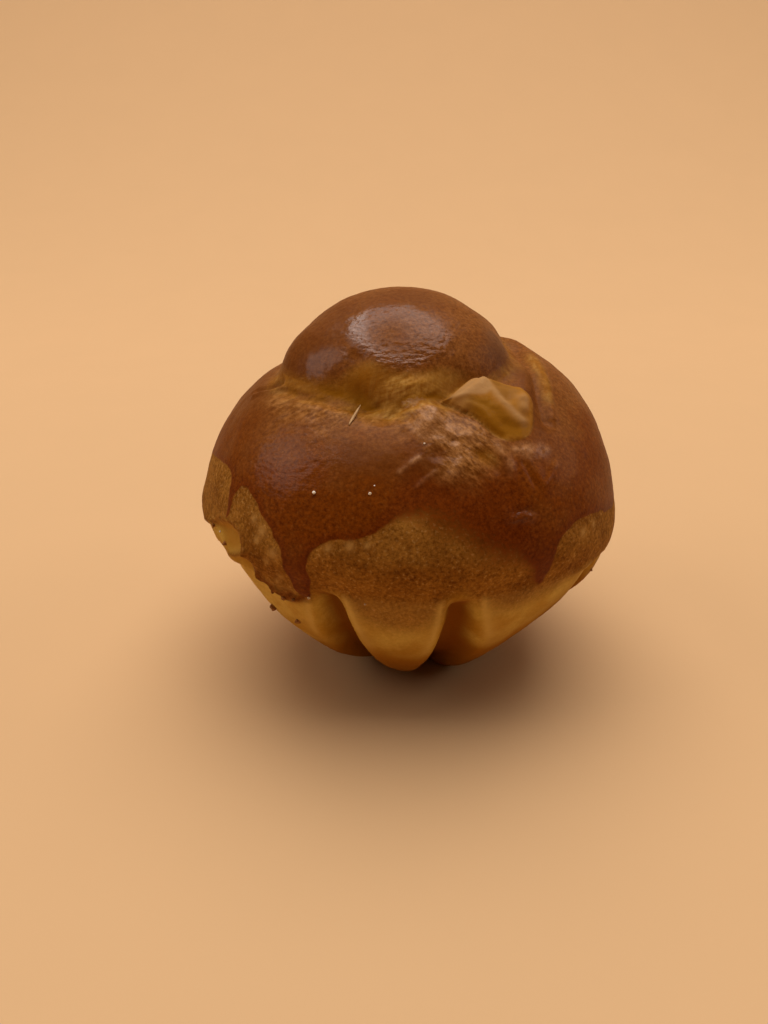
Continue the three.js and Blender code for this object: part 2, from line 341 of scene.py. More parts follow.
# Egg wash: the lower border of the brushed-on glaze right round the bun, with its drips
WASH_EDGE = [
    (-180, 11), (-168, 10), (-161, 6), (-158, -3), (-155, 5), (-148, 10), (-130, 13), (-116, 8), (-108, 4),
    (-105, -4), (-101, 6), (-92, 12), (-83, 16), (-74, 18.5), (-64, 20.5), (-57, 20.5), (-54, 18.5),
    (-53, 14), (-52, 8), (-51, 12), (-50.6, 17), (-48.5, 18.7), (-44, 17.8), (-40, 15), (-36.5, 11.8),
    (-33.5, 9.5), (-31.6, 5), (-31.6, -1), (-30.8, -6), (-27.5, -6.5), (-26, -2), (-25.9, 4), (-25, 7),
    (-24, 9.5), (-22, 11.4), (-18.5, 12.6), (-14.5, 13), (-11, 14), (-8, 15.8), (-4, 18.8), (1, 18.5),
    (8, 16), (16, 10), (24, 6.5), (29, 3), (31.5, -2), (33.4, -3), (34.4, 1), (35, 6), (36, 9), (39, 10.5),
    (42, 12), (46.5, 12), (54.5, 10), (60.5, 7.6), (72, 6), (86, 9), (93, 2), (95.5, -5), (98, 3), (104, 8),
    (122, 11), (138, 7), (144, 0), (147, -5), (150, 2), (158, 8), (172, 11),
]
WASH_SOFT = (0.3, 5)
WASH_SOFT_BAND = (13, 16)
WASH_RAGGED = [(0.45, 3, 2), (0.2, 0.9, 1)]
# Painted shade: the glaze darkens towards the lower dome, from none at the first elevation to full at the
# second
LOWER_SHADE_ELEVATIONS = (42, 22)

# Lower border of the glaze on the head, above the underbaked flank
HEAD_WASH_EDGE = [
    (-180, 53), (-120, 53), (-80, 51), (-66, 49), (-54, 49.2), (-43.5, 50.5), (-34, 52), (-30, 54.5),
    (-24, 58), (-15, 57), (-7, 56), (2, 56.5), (9, 57.5), (14, 57.5), (20, 56.5), (30, 55.5), (42, 54),
    (55, 53.5), (67, 53.5), (90, 53.5), (130, 53),
]
HEAD_WASH_SOFT = (-1.2, 2)

# Pale wall: the upper border of the dough that baked against the tin, lobe by lobe
PALE_EDGE = [
    (-180, -3), (-168, -10), (-150, -10), (-140, -3), (-128, -9), (-112, -8), (-101, -5), (-88, -3), (-75, 0),
    (-66, 3), (-61, 4.8), (-56, 7.3), (-52, 9), (-47, 7.5), (-44.2, 3.8), (-42.8, -2.2), (-41.2, -7),
    (-35.5, -11), (-30, -8), (-26, -6), (-20, -3), (-17.5, -6), (-14, -10.5), (-9, -13.2), (-3.5, -14.2),
    (2, -13.5), (5, -11.2), (7, -7.5), (8.7, -3.5), (10.3, -1.5), (13.5, -3.5), (19, -7.5), (25, -9.5),
    (30, -9), (36.5, -7), (43.5, -6), (52, -4), (62, -4.5), (75, -9), (90, -4), (104, -10), (118, -9),
    (130, -3), (142, -9), (160, -10), (172, -4),
]
PALE_CRISP_BAND = (-62, 24)
PALE_SOFT = (2.6, 0.5)
PALE_RAGGED = (0.5, 0.2)
PALE_RAGGED_SIZE = 2.5

# The wall's tints: grooves browner and partly painted shade, lobe edges a painted highlight, both by their
# share of a groove, and the sole browner and partly painted shade, by its height
BELOW_RIM = (1.0, 0.92)
GROOVE_TINT = (0.35, 0.9)
LOBE_EDGE = 0.12
LOBE_EDGE_WIDTH = 0.1
LOBE_EDGE_LEVELS = (0.4, 0.7)
SOLE_HEIGHTS = (24, 13)
SOLE_RIGHT = (26, 50)
SOLE_RIGHT_RAISE = 9
SOLE_LEFT = (-45, 18)
SOLE_LEFT_DROP = 5
SOLE_RAGGED = 2.5
SOLE_RAGGED_SIZE = 6
FACET_EDGE = (-1, 0.8)

# Pale blisters in the bare dough: azimuth, elevation, radius in degrees
BLISTERS = [
    (-41.5, 12.5, 0.9), (-38.2, 10.5, 1.2), (-39.5, 8, 0.8), (-34.3, 6, 1.3), (-36.5, 3.5, 0.8),
    (-33.8, -0.5, 1.0), (-35.5, -2.5, 0.8), (-20, 10.5, 0.8), (-15, 11.5, 1.0), (-11, 12, 0.7), (45, 8, 1.0),
    (50, 8.5, 0.8),
]
BLISTER_PALE = 0.75
BLISTER_RISE = 0.15

# Toasted rim along the left ledge, where the glaze ran down and caught
RIM_LINE = [
    (-75, 0), (-66, 3), (-61, 4.8), (-56, 7.3), (-52, 9), (-47, 7.5), (-44.2, 3.8), (-42.8, -2.2),
    (-40.6, -7), (-35, -9), (-29, -7.3),
]
RIM_WIDTH = 0.6
RIM_SHARE = 0.8
RIM_BREAK_SIZE = 1.5
RIM_BREAK_EDGE = (-0.25, 0.3)
FACET_RIDGE_SHARE = 0.7
RIM_TOASTED = [(-42.3, -2.5), (-41, -6.5), (-37.4, -8.2), (-33.8, -8), (-29.5, -7)]
RIM_TOASTED_WIDTH = 1.3
RIM_TOASTED_RAGGED = 0.7
RIM_TOASTED_RAGGED_SIZE = 2

# Crags of that rim: width and height along each line, then their noise
CRAGS = [(RIM_LINE, 0.8, 0.3), (RIM_TOASTED, 1.2, 0.45)]
CRAG_AZIMUTHS = (-74, -60)
CRAG_SIZE = 2.4
CRAG_MEAN = 0.4
CRAG_SWING = 1.1

# The left wall steps in below that rim
RECESS_DEPTH = 0.9
RECESS_BAND = (-56, 20)
RECESS_STEP = (-0.2, 0.9)
RECESS_FADE = (13, 4)

# Glossy patches of glaze: outline, softness of its border in millimetres, strength
HEAD_RING = [
    (-38.7, 63.4), (-45.5, 68.8), (-44, 73.2), (-13.9, 77.4), (17.2, 74), (24.3, 67.5), (18.6, 62),
    (7.9, 58.9), (-8.6, 56.2), (-24, 58.9),
]
CHEEK_SHEEN = [
    (-53, 56), (-43.8, 59.5), (-32, 59.8), (-26.5, 57), (-27.5, 53), (-34, 50.3), (-44.5, 50), (-52, 52),
]
LIP_SHEEN = [(-56, 42), (-40, 43), (-22, 43), (-10, 46), (0, 44), (0, 37), (-9, 36), (-25, 37), (-45, 40)]
FAN_SHEEN = [(0, 43), (8, 46), (17, 43.5), (22, 40), (23.7, 34), (18, 30.5), (12, 28), (6.6, 29.5), (2, 35)]
BULGE_SHEEN = [(-50, 30), (-42, 35), (-30, 36), (-21, 30), (-24, 23), (-33, 19), (-45, 22)]
DENT_SHEEN = [(21.5, 18.5), (29, 18), (30.5, 15.5), (27, 14.5), (22, 16)]
RING_BRIGHT = [
    (-38.7, 63.4), (-45.5, 68.8), (-40, 72.5), (-30, 70), (-27, 66), (-22, 62), (-8, 60.5), (6, 61.5),
    (7.9, 58.9), (-8.6, 56.2), (-24, 58.9),
]
GLOSS_PATCHES = [
    (HEAD_RING, 1.6, 0.4),
    (RING_BRIGHT, 1.4, 0.95),
    (CHEEK_SHEEN, 0.8, 0.4),
    (LIP_SHEEN, 2.5, 0.05),
    (FAN_SHEEN, 2.5, 0.15),
    (BULGE_SHEEN, 6, 0.3),
    (DENT_SHEEN, 0.8, 0.6),
    (CRUMPLED_LUMPS, 1.5, 0.25),
    (CRUMPLED_HEM, 1.2, 0.3),
]
RING_HOLLOW = (-13, 66, 5)
RING_HOLLOW_DULL = 0.85
GLOSS_RAGGED_SIZE = 2.5
CHEEK_EDGE = (-1.5, 0.5)
CHEEK_SMOOTH = 0.75

# Scorched spots, and spots of darker glaze that are partly toast and partly painted shade: azimuth,
# elevation, spread in degrees
SCORCH_SPOTS = [(61, 63, 4), (52, 60, 5), (62, 64.5, 1.6)]
TOAST_AND_SHADE_SPOTS = [
    (-62, 62, 14), (-82, 42, 22), (-80, 54, 12), (0, 82, 9), (-18, 31.5, 5), (-8, 31.5, 5), (3, 31, 4.5),
    (58, 52, 6), (49, 43.5, 4), (43, 36.5, 3.5),
]

# Thin golden skin that stretched below the crease
STRETCH_OUTLINE = [
    (-62, 43), (-40, 45.5), (-22, 45), (-12, 47.5), (0, 49.5), (12, 48.5), (19, 44), (24, 40), (26, 34),
    (20, 29.5), (12, 27), (6, 29), (3, 36), (-3, 43), (-12, 43.5), (-22, 41), (-30, 38.5), (-45, 38),
    (-60, 39),
]
STRETCH_EDGE = (-3.5, 3.5)
STRETCH_RAGGED = 1.5
STRETCH_RAGGED_SIZE = 4
STRETCH_POCKETS = [(FIRST_POCKET, 0.8), (SECOND_POCKET, 0.4)]
STRETCH_POCKET_EDGE = (-0.8, 1.2)

# Strands of pulled dough: they rise along the lip, fall below the burst and stand up the head's flank
STRAND_LENGTH = 1.5
STRAND_WIDTH = 0.45
STRAND_LEAN = 20
RIGHT_LEAN = -35
FLANK_LEAN = 80
FAN_START = (-8, 10)
FAN_END = (120, 90)
TORN_EDGE = (1, -0.5)
PULLED_SHARE = 0.3
PULLED_ELEVATIONS = (12, 34)
PULLED_FOOT = (2, -1)
PULLED_BAND = (0, 80)

# Wrinkles of pulled dough in the mesh: lean, length and width of a wrinkle
LEFT_WRINKLES = (26, 3.5, 0.7)
RIGHT_WRINKLES = (RIGHT_LEAN, 3, 0.8)
FLANK_WRINKLES = (FLANK_LEAN, 5, 0.8)
RING_WRINKLES = (8, 1.2, 0.55)
RIGHT_WRINKLE_AZIMUTHS = (-4, 10)
LIP_FOOT = (1, -1)
LIP_WRINKLE_HEIGHT = 0.2
FLANK_WRINKLE_HEIGHT = 0.05
LUMPY_WRINKLE_HEIGHT = 0.16
RING_WRINKLE_HEIGHT = 0.04
RING_EDGE = (-1, 1)
RIDGE_EDGE = (-0.5, 0.6)
FLANK_RIDGE_MEAN = 0.25
FLANK_RIDGE_SWING = 0.3
LUMPY_RIDGE = 0.25
BURST_RIDGE_MEAN = 0.15
BURST_RIDGE_SWING = 0.2
BURST_RIDGE_SIZE = 3
BURST_RIDGE_CRUMPLE = 0.15

# Fine relief of the skin: height and size of its lumps, on all of it, on the glaze and on bare dough
SKIN_WAVES = [(0.26, 15), (0.10, 5)]
GLAZE_GRAIN = (0.04, 1.1)
BARE_GRAIN = (0.06, 1.0)
GLAZE_THICKNESS = 0.06
GLAZE_EDGE = (-0.5, 0.5)
RELIEF_FOOT = (0.2, 4)

# Loose bits on the crust: azimuth, elevation, radius
CRUMBS = [
    (-49, -21, 0.6), (-37.5, -21.5, 0.45), (-61, 4, 0.4), (-54.5, 1.5, 0.4), (-42.5, -5.5, 0.35),
    (-39.5, -8, 0.4), (-36, -8.8, 0.35), (-32.5, -8.2, 0.3), (64, -12, 0.35),
]
CRUMBS_BEHIND = 16
CRUMB_RADII_BEHIND = (0.25, 0.55)
CRUMB_UNEVEN = 0.5
GRAINS = [
    (-25.5, 22.2, 0.3), (-11.4, 23.6, 0.22), (2.8, 36.3, 0.16), (-12.2, -4.8, 0.2), (-41.9, -10, 0.3),
    (-57.2, 3.6, 0.22), (-10.5, 25.5, 0.12), (-28, -6.6, 0.22),
]
GRAINS_BEHIND = 8
GRAIN_RADII_BEHIND = (0.15, 0.28)
GRAIN_UNEVEN = 0.2
AZIMUTHS_BEHIND = (95, 265)
ELEVATION_BEHIND = -4
ELEVATION_SPREAD_BEHIND = 7
BIT_SUBDIVISIONS = 3
BIT_BUMP_SIZE = 0.9
BIT_BUMP_SHIFT = 5
BIT_SQUASH = (0.7, 1.25)
BIT_STANDS_OUT = 0.35
BITS_SEED = 7

# Distance from the core at which the rays that find a place on the crust start
FAR_OUTSIDE = 120

# A thin dry flake that stands in the crease in front of the head
FLAKE_BASE = (-22, 40.1)
FLAKE_TIP = (-22.6, 46.4)
FLAKE_HALF_WIDTH = 0.3
FLAKE_HALF_THICKNESS = 0.07
FLAKE_REST = 0.1
FLAKE_STATIONS = 12
FLAKE_TAPER = (0.12, 0.98)
FLAKE_TAPER_POWER = 0.8

# Crust mesh: columns crowd towards the front right, and rows where the creases are
COLUMNS = 400
COLUMN_CROWD = 0.3
COLUMN_CROWD_AZIMUTH = 5
ROWS = 249
ROW_STOPS = [(0, -90), (8, -68), (46, -14), (98, 28), (132, 42), (226, 76), (249, 90)]

# Camera: the photograph's frame and viewing angle
PHOTO_SIZE = (768, 1024)
PHOTO_FOCAL = 769
CORE_PIXEL = (408, 495)
CAMERA_PITCH = 25
CAMERA_DISTANCE = 164
SENSOR = 36
NEAREST_SEEN = 5

# Colours of the baked dough, the loose bits and the floor, in linear light
WASH_DEEP = (0.165, 0.036, 0.0014)
WASH_WARM = (0.205, 0.063, 0.009)
WASH_POOL = (0.115, 0.016, 0.0008)
# Darker glaze, partly toast and partly painted shade
WASH_TOAST_AND_SHADE = (0.115, 0.028, 0.003)
STRETCHED = (0.36, 0.145, 0.032)
STRETCH_DEEP = (0.18, 0.058, 0.007)
# Tan of torn skin with painted sheen
RIDGE_TAN_AND_SHEEN = (0.50, 0.24, 0.095)
BARE_BROWN = (0.31, 0.128, 0.017)
BARE_DARK = (0.20, 0.07, 0.007)
BARE_FLECK = (0.50, 0.27, 0.075)
WALL_GOLD = (0.60, 0.38, 0.075)
WALL_DEEP = (0.44, 0.215, 0.022)
FACET_AMBER = (0.42, 0.185, 0.02)
# Painted highlight along the lobes' edges
LOBE_EDGE_HIGHLIGHT = (0.68, 0.45, 0.13)
# Browner dough towards the base, partly painted shade
SOLE_BROWN_AND_SHADE = (0.30, 0.115, 0.008)
# Browner groove colour, partly painted shade
GROOVE_BROWN_AND_SHADE = (0.19, 0.052, 0.0015)
RIM_TOAST = (0.19, 0.058, 0.008)
RAW_GOLD = (0.32, 0.115, 0.005)
# Darker underbaked dough, partly painted shade in the crease and the burst's hollows
RAW_DEEP_AND_SHADE = (0.235, 0.082, 0.002)
RAW_MOIST = (0.315, 0.128, 0.010)
RAW_PALE = (0.46, 0.23, 0.045)
PAPER_SKIN = (0.48, 0.29, 0.135)
SCORCHED = (0.12, 0.048, 0.022)
CRUMB_DARK = (0.20, 0.07, 0.012)
CRUMB_BROWN = (0.36, 0.15, 0.035)
GRAIN_CREAM = (0.66, 0.50, 0.30)
GRAIN_WHITE = (0.90, 0.80, 0.64)
FLAKE_TAN = (0.42, 0.22, 0.075)
FLAKE_PALE = (0.56, 0.34, 0.14)
FLOOR_PEACH = (0.63, 0.395, 0.20)
FLOOR_FIBRE_SHADE = 0.97
FLOOR_FIBRE_SCALE = 30.0
FLOOR_ROUGHNESS = 0.8
FLOOR_SPECULAR = 0.2

# Floor: how far it reaches, where it starts to curve up behind the bun, and the radius of that curve
FLOOR_REACH = 900
FLOOR_BACK = 300
FLOOR_BEND = 600
FLOOR_BEND_POINTS = 19

# Lights: name, place, size, power, colour
LIGHTS = [
    ("overhead", (20, 290, 1450), 1700, 30, (1.0, 0.95, 0.91)),
    ("left side", (-880, -60, 680), 650, 2.6, (1.0, 0.93, 0.88)),
    ("right side", (900, 160, 460), 500, 1.5, (1.0, 0.95, 0.91)),
]
ROOM_GLOW = (1.0, 0.6, 0.27, 1)
ROOM_GLOW_STRENGTH = 0.08

# Grain of the baked dough: sizes of its lumps in the crust and in the loose bits
CRUST_GRAIN = {"mottle": 6, "grain": 0.65, "fleck": 0.5}
BIT_GRAIN = {"mottle": 0.5, "grain": 0.2, "fleck": 0.2}
MOTTLE_RANGE = (0.3, 0.7)
FLECK_RANGE = (0.56, 0.74)
GRAIN_RANGE = (0.34, 0.66)
GRAIN_MEAN = 0.5
GRAIN_DARKENS = (0.95, 1.1, 1.3)
GRAIN_LIGHTENS = (0.9, 1.15, 2.0)

# Finish of the crust: how strongly each tint shows over what lies below it
TINT_SHARES = {
    "facet": 0.8, "lip": 0.7, "groove": 0.9, "darkening": 0.6, "scorch": 0.6, "pooled": 0.5,
    "bare fleck": 0.35, "wash fleck": 0.05,
}
GRAIN_AMOUNTS = {
    "bare": 0.4, "wall": 0.1, "wash": 0.36, "stretched": 0.25, "rim": 0.4, "raw": 0.14, "bit": 0.2,
}

# Shades of the glaze, with painted shade towards the lower dome, and of the strands, grains and fibres in
# torn dough
GLAZE_DEPTH_MEAN = 0.35
GLAZE_MOTTLE_SWING = -0.7
BRIGHT_STRANDS = (0.36, 0.66)
TAN_GRAIN = (0.42, 0.62)
TAN_SPECKLE = (0.45, 0.82)
FIBRE_LEAST = 0.6

# Wobble, border and pooled edge of the glaze, in widths of its border
WASH_WOBBLE = 1.6
WASH_BORDER = (-0.6, 0.6)
POOL_WIDTH = (0.8, 7.0)

# Roughness, sheen and bumps of each finish, with the bumps in millimetres
BARE_ROUGHNESS = 0.75
GLAZE_ROUGHNESS = 0.5
GLAZE_SHEEN = 0.04
GLOSS_SHEEN = 0.9
SHEEN_ROUGHNESS = 0.22
CRUST_SPECULAR = 0.05
CRUST_SPECULAR_TINT = (1.0, 0.6, 0.3, 1)
GRAIN_BUMP = 0.12
GRAIN_BUMP_STRENGTH = 0.6
STRAND_BUMP = 0.22
WRINKLE_BUMP = 0.3
WRINKLE_SIZE = 0.8
WRINKLE_STRETCH = (0.6, 0.6, 1.25)
BIT_BUMP = 0.05
BIT_BUMP_STRENGTH = 0.5
BIT_SPECULAR = 0.3
BIT_ROUGHNESS = {"crumb": 0.8, "grain": 0.5, "flake": 0.6}


# Shape helpers

def smooth_min(a, b, blend):
    mix = np.clip(0.5 + 0.5 * (b - a) / blend, 0, 1)
    return b * (1 - mix) + a * mix - blend * mix * (1 - mix)


def smooth_max(a, b, blend):
    return -smooth_min(-a, -b, blend)


def smooth_step(value, low, high):
    share = np.clip((value - low) / (high - low), 0, 1)
    return share * share * (3 - 2 * share)


def between(ends, share):
    """The first end at share 0, the second at share 1."""
    return ends[0] + (ends[1] - ends[0]) * share


def hump(distance, width):
    """A soft profile: 1 on a line or point, gone a few widths away."""
    return np.exp(-((distance / width) ** 2))


def direction(azimuth, elevation):
    turn = np.radians(azimuth)
    rise = np.radians(elevation)
    across = np.cos(rise)
    return np.stack([across * np.sin(turn), -across * np.cos(turn), np.sin(rise)], axis=-1)


def azimuth_gap(azimuth, centre):
    return (azimuth - centre + 180) % 360 - 180


def azimuth_band(azimuth, centre, spread):
    """A plateau around an azimuth with soft shoulders."""
    return np.exp(-((azimuth_gap(azimuth, centre) / spread) ** 4))


def spot(toward, azimuth, elevation, spread):
    """A round soft spot on the skin."""
    cosine = np.clip(toward @ direction(azimuth, elevation), -1, 1)
    return hump(np.degrees(np.arccos(cosine)), spread)


def lump_height(toward, lumps):
    return sum(height * spot(toward, *place) for *place, height in lumps)


def line_gap(toward, line):
    """Distance from a line of azimuths and elevations, in millimetres near the skin."""
    corners = direction(*np.array(line, dtype=float).T)
    nearest = np.full(toward.shape[:-1], np.inf)
    for start, end in zip(corners[:-1], corners[1:]):
        along = end - start
        share = np.clip((toward - start) @ along / (along @ along), 0, 1)
        gap = np.linalg.norm(toward - start - share[..., None] * along, axis=-1)
        nearest = np.minimum(nearest, gap)
    return nearest * SKIN_REACH


def outline_gap(azimuth, elevation, toward, outline):
    """Signed distance inside a closed outline of azimuths and elevations, in millimetres near the skin."""
    corners = rounded(list(outline) + list(outline[:1]))
    inside = np.zeros(azimuth.shape, dtype=bool)
    for (turn, rise), (next_turn, next_rise) in zip(corners[:-1], corners[1:]):
        if rise != next_rise:
            crossing = turn + (elevation - rise) * (next_turn - turn) / (next_rise - rise)
            inside ^= ((rise > elevation) != (next_rise > elevation)) & (azimuth < crossing)
    return np.where(inside, 1, -1) * line_gap(toward, corners)


def rounded(line, rounds=2):
    """The same line with its corners cut, as often as asked."""
    points = np.array(line, dtype=float)
    for _ in range(rounds):
        step = points[1:] - points[:-1]
        early = points[:-1] + CORNER_CUT * step
        late = points[1:] - CORNER_CUT * step
        middle = np.stack([early, late], axis=1).reshape(-1, 2)
        points = np.concatenate([points[:1], middle, points[-1:]])
    return points


# The solid's form

def ellipsoid_distance(toward, start, radii):
    """Where a ray leaves an ellipsoid around the origin, or 0 where it misses."""
    origin = np.asarray(start, dtype=float) / radii
    ray = toward / radii
    square = (ray * ray).sum(axis=-1)
    half = ray @ origin
    reach = half * half - square * (origin @ origin - 1)
    return np.where(reach > 0, (np.sqrt(np.maximum(reach, 0)) - half) / square, 0)


def round_distance(toward, knob):
    centre, radii = knob
    return ellipsoid_distance(toward, CORE - centre, np.array(radii, dtype=float))


def dome_distance(elevation):
    rise = np.radians(elevation)
    height = np.where(rise >= 0, DOME_RISE, SKIRT_DROP)
    across = (np.cos(rise) / BODY_RADIUS) ** DOME_POWER
    up = (np.abs(np.sin(rise)) / height) ** DOME_POWER
    return (across + up) ** (-1 / DOME_POWER)


def groove_share(azimuth, level):
    """From 0 on a lobe to 1 in a groove's middle."""
    turn = np.radians(azimuth)
    wander = FLUTE_WANDER * np.sin(2 * turn + FLUTE_WANDER_PHASE)
    lean = GROOVE_LEAN * level * azimuth_band(azimuth, *GROOVE_LEAN_BAND)
    wave = 0.5 - 0.5 * np.cos(FLUTES * np.radians(azimuth + lean - LOBE_AZIMUTH) + wander)
    base, rim = GROOVE_SHARPNESS
    return wave ** (base + (rim - base) * level ** GROOVE_TAPER)


def groove_strength(azimuth):
    """Grooves are deepest at the front and back."""
    return 1 - GROOVE_UNEVEN * (1 - np.cos(2 * np.radians(azimuth - GROOVE_UNEVEN_AZIMUTH)))


def wall_distance(azimuth, elevation):
    turn = np.radians(azimuth)
    rise = np.radians(elevation)
    offset = BASE_OFFSET[0] * np.sin(turn) - BASE_OFFSET[1] * np.cos(turn)
    base_radius = BASE_RADIUS + offset
    flare = (RIM_RADIUS + RIM_OFFSET_SHARE * offset - base_radius) / RIM_HEIGHT
    slope = np.maximum(np.cos(rise) - flare * np.sin(rise), LEAST_SLOPE)
    straight = (base_radius + flare * CORE_HEIGHT) / slope
    level = (CORE_HEIGHT + straight * np.sin(rise)) / RIM_HEIGHT
    share = np.clip(level, 0, 1)
    bulge = WALL_BULGE * 4 * share * (1 - share)
    fade = 1 - smooth_step(level, *GROOVE_FADE)
    depth = GROOVE_DEPTH_BASE + (GROOVE_DEPTH_RIM - GROOVE_DEPTH_BASE) * share
    groove = groove_share(azimuth, share)
    groove = groove + GROOVE_CRISP * (smooth_step(groove, *GROOVE_EDGE) - groove)
    return straight + bulge - depth * fade * groove_strength(azimuth) * groove


def ledge_reach(azimuth):
    return LEDGE_LEAST + sum(out * azimuth_band(azimuth, middle, spread) for middle, spread, out in LEDGES)


def body_distance(azimuth, elevation, toward):
    dome = dome_distance(elevation) + lump_height(toward, BODY_LUMPS)
    blend = RIM_BLEND + FRONT_BLEND * azimuth_band(azimuth, FRONT_AZIMUTH, FRONT_SPREAD)
    walled = smooth_min(dome, wall_distance(azimuth, elevation), blend)
    above = CORE_HEIGHT + walled * np.sin(np.radians(elevation)) - LEDGE_HEIGHT
    ledge = ledge_reach(azimuth) * smooth_step(above, *LEDGE_STEP) * (1 - smooth_step(above, *LEDGE_FADE))
    return np.where(elevation > WALL_TOP_ELEVATION, dome, walled + ledge)


def burst_rise(azimuth, elevation, inside):
    """How far the burst's pillow stands out, from its outline inwards."""
    rising = smooth_step(elevation, *BURST_RISE_ELEVATIONS) * smooth_step(azimuth, *BURST_TIP)
    full = between(BURST_RISE, rising)
    share = np.clip(inside / BURST_EDGE, 0, 1)
    return full * np.sqrt(1 - (1 - share) ** 2)


def bun_form(azimuth, elevation):
    """The skin's distance from the core, the head's height over the body, and how far inside the burst."""
    toward = direction(azimuth, elevation)
    body = body_distance(azimuth, elevation, toward)
    head = smooth_max(round_distance(toward, HEAD), round_distance(toward, CHEEK), CHEEK_BLEND)
    over_body = head - body
    crease = HEAD_CREASE_DEPTH * hump(over_body, HEAD_CREASE_WIDTH) * (elevation > HEAD_CREASE_LOWEST)
    skin = smooth_max(body, head, HEAD_BLEND) - crease + lump_height(toward, SKIN_LUMPS)
    skin = skin - SEAM_DEPTH * hump(line_gap(toward, SEAM), SEAM_WIDTH)

    inside = outline_gap(azimuth, elevation, toward, BURST_OUTLINE)
    bridge = smooth_max(body, head, BURST_BRIDGE)
    depth = BURST_CREASE_DEPTH * smooth_step(elevation, *BURST_RISE_ELEVATIONS)
    skin = skin + (bridge - skin) * smooth_step(inside, *BURST_BRIDGE_EDGE)
    skin = skin + burst_rise(azimuth, elevation, inside)
    skin = skin - depth * hump(np.minimum(inside, 0), BURST_CREASE_WIDTH) * (inside < 0)

    floor = CORE_HEIGHT / np.sin(np.radians(np.maximum(-elevation, LEAST_DIP)))
    rested = np.minimum(smooth_min(skin, floor, BASE_EDGE_BLEND), floor)
    return np.where(elevation < 0, rested, skin), over_body, inside


# Noise

def noise_at(points, size, octaves=2):
    """Fractal noise from about -1 to 1, with lumps of the given size."""
    flat = (points / size).reshape(-1, 3)
    values = [noise.fractal(Vector(point), NOISE_SMOOTHNESS, NOISE_STEP, octaves) for point in flat]
    return np.array(values).reshape(points.shape[:-1])


def ridges_at(points, size, octaves=2):
    """Noise folded into sharp ridges, from about -1 to 1."""
    return 1 - RIDGE_FOLD * np.abs(noise_at(points, size, octaves))


# Masks over the skin

class Skin:
    """Every point of the crust's grid, with the head's height over the body and how far inside the burst."""

    def __init__(self):
        self.azimuth, self.elevation = crust_grid()
        self.toward = direction(self.azimuth, self.elevation)
        distance, self.over_body, self.in_burst = bun_form(self.azimuth, self.elevation)
        self.points = CORE + self.toward * distance[..., None]
        self.height = self.points[..., 2]
        self.by_head = self.elevation > HEAD_CREASE_LOWEST

    def noise(self, size, octaves=2):
        return noise_at(self.points, size, octaves)

    def wrinkles(self, lean, length, width):
        return noise_at(drawn_out(self.points, lean, length, width), 1, 3)

    def inside(self, outline):
        return outline_gap(self.azimuth, self.elevation, self.toward, outline)

    def patch(self, outline, edge):
        """1 inside an outline and 0 outside it; the edge says where it starts and where it is full."""
        return smooth_step(self.inside(outline), *edge)

    def above(self, border):
        """Signed distance above a border that runs right round the bun, in millimetres."""
        ring = [(border[-1][0] - 360, border[-1][1]), *border, (border[0][0] + 360, border[0][1])]
        line = rounded(ring)
        side = np.sign(self.elevation - np.interp(self.azimuth, line[:, 0], line[:, 1]))
        return side * line_gap(self.toward, line)

    def along(self, line, width):
        return hump(line_gap(self.toward, line), width)

    def spot(self, place):
        return spot(self.toward, *place)

    def spots(self, places):
        return np.clip(sum(self.spot(place) for place in places), 0, 1)

    def band(self, place):
        return azimuth_band(self.azimuth, *place)

    def around(self, azimuths):
        """From 0 at the first azimuth to 1 at the second."""
        return smooth_step(self.azimuth, *azimuths)

    def up(self, elevations):
        """From 0 at the first elevation to 1 at the second."""
        return smooth_step(self.elevation, *elevations)


def wash_mask(skin):
    """Positive where the glaze lies, in widths of its border."""
    ragged = sum(amount * skin.noise(size, octaves) for amount, size, octaves in WASH_RAGGED)
    return (skin.above(WASH_EDGE) + ragged) / between(WASH_SOFT, skin.band(WASH_SOFT_BAND))


def raw_mask(skin):
    """Underbaked dough: the crease, the head's flank above it, the seam, the burst and a pocket below it."""
    front = skin.band(RAW_FRONT)
    below_glaze = smooth_step(-skin.above(HEAD_WASH_EDGE), *HEAD_WASH_SOFT)
    flank = below_glaze * smooth_step(skin.over_body, *RAW_FLANK_FOOT) * between(RAW_FLANK_SHARES, front)
    lip = hump(np.minimum(skin.over_body, 0), between(RAW_LIP_WIDTHS, front)) * between(RAW_LIP_SHARES, front)
    lip = np.where(skin.over_body > RAW_LIP_TOP, 0, lip * skin.by_head)
    patches = smooth_step(skin.noise(RAW_LIP_PATCH_SIZE), *RAW_LIP_PATCH_EDGE)
    lip = lip * between(RAW_LIP_PATCH_SHARES, patches)
    seam = RAW_SEAM_SHARE * skin.along(COLLAR_LIP, RAW_SEAM_WIDTH)
    seam = seam * skin.up(RAW_SEAM_ELEVATIONS) * skin.around(RAW_SEAM_AZIMUTHS)
    right_end = skin.around(BURST_END_AZIMUTHS) * skin.up(BURST_END_FOOT) * skin.up(BURST_END_TOP)
    start, full = BURST_SKIN_EDGE
    swollen = smooth_step(skin.in_burst, start, full + BURST_END_SOFTER * right_end)
    pocket = RAW_POCKET_SHARE * skin.patch(SECOND_POCKET, RAW_POCKET_EDGE) * skin.up(RAW_POCKET_ELEVATIONS)
    return np.clip(np.maximum.reduce([flank, lip, seam, swollen, pocket]), 0, 1)


def stretch_mask(skin):
    """Thin golden skin below the crease, most of it at the front."""
    inside = skin.inside(STRETCH_OUTLINE) + STRETCH_RAGGED * skin.noise(STRETCH_RAGGED_SIZE)
    pockets = sum(share * skin.patch(outline, STRETCH_POCKET_EDGE) for outline, share in STRETCH_POCKETS)
    return smooth_step(inside, *STRETCH_EDGE) * (1 - pockets)


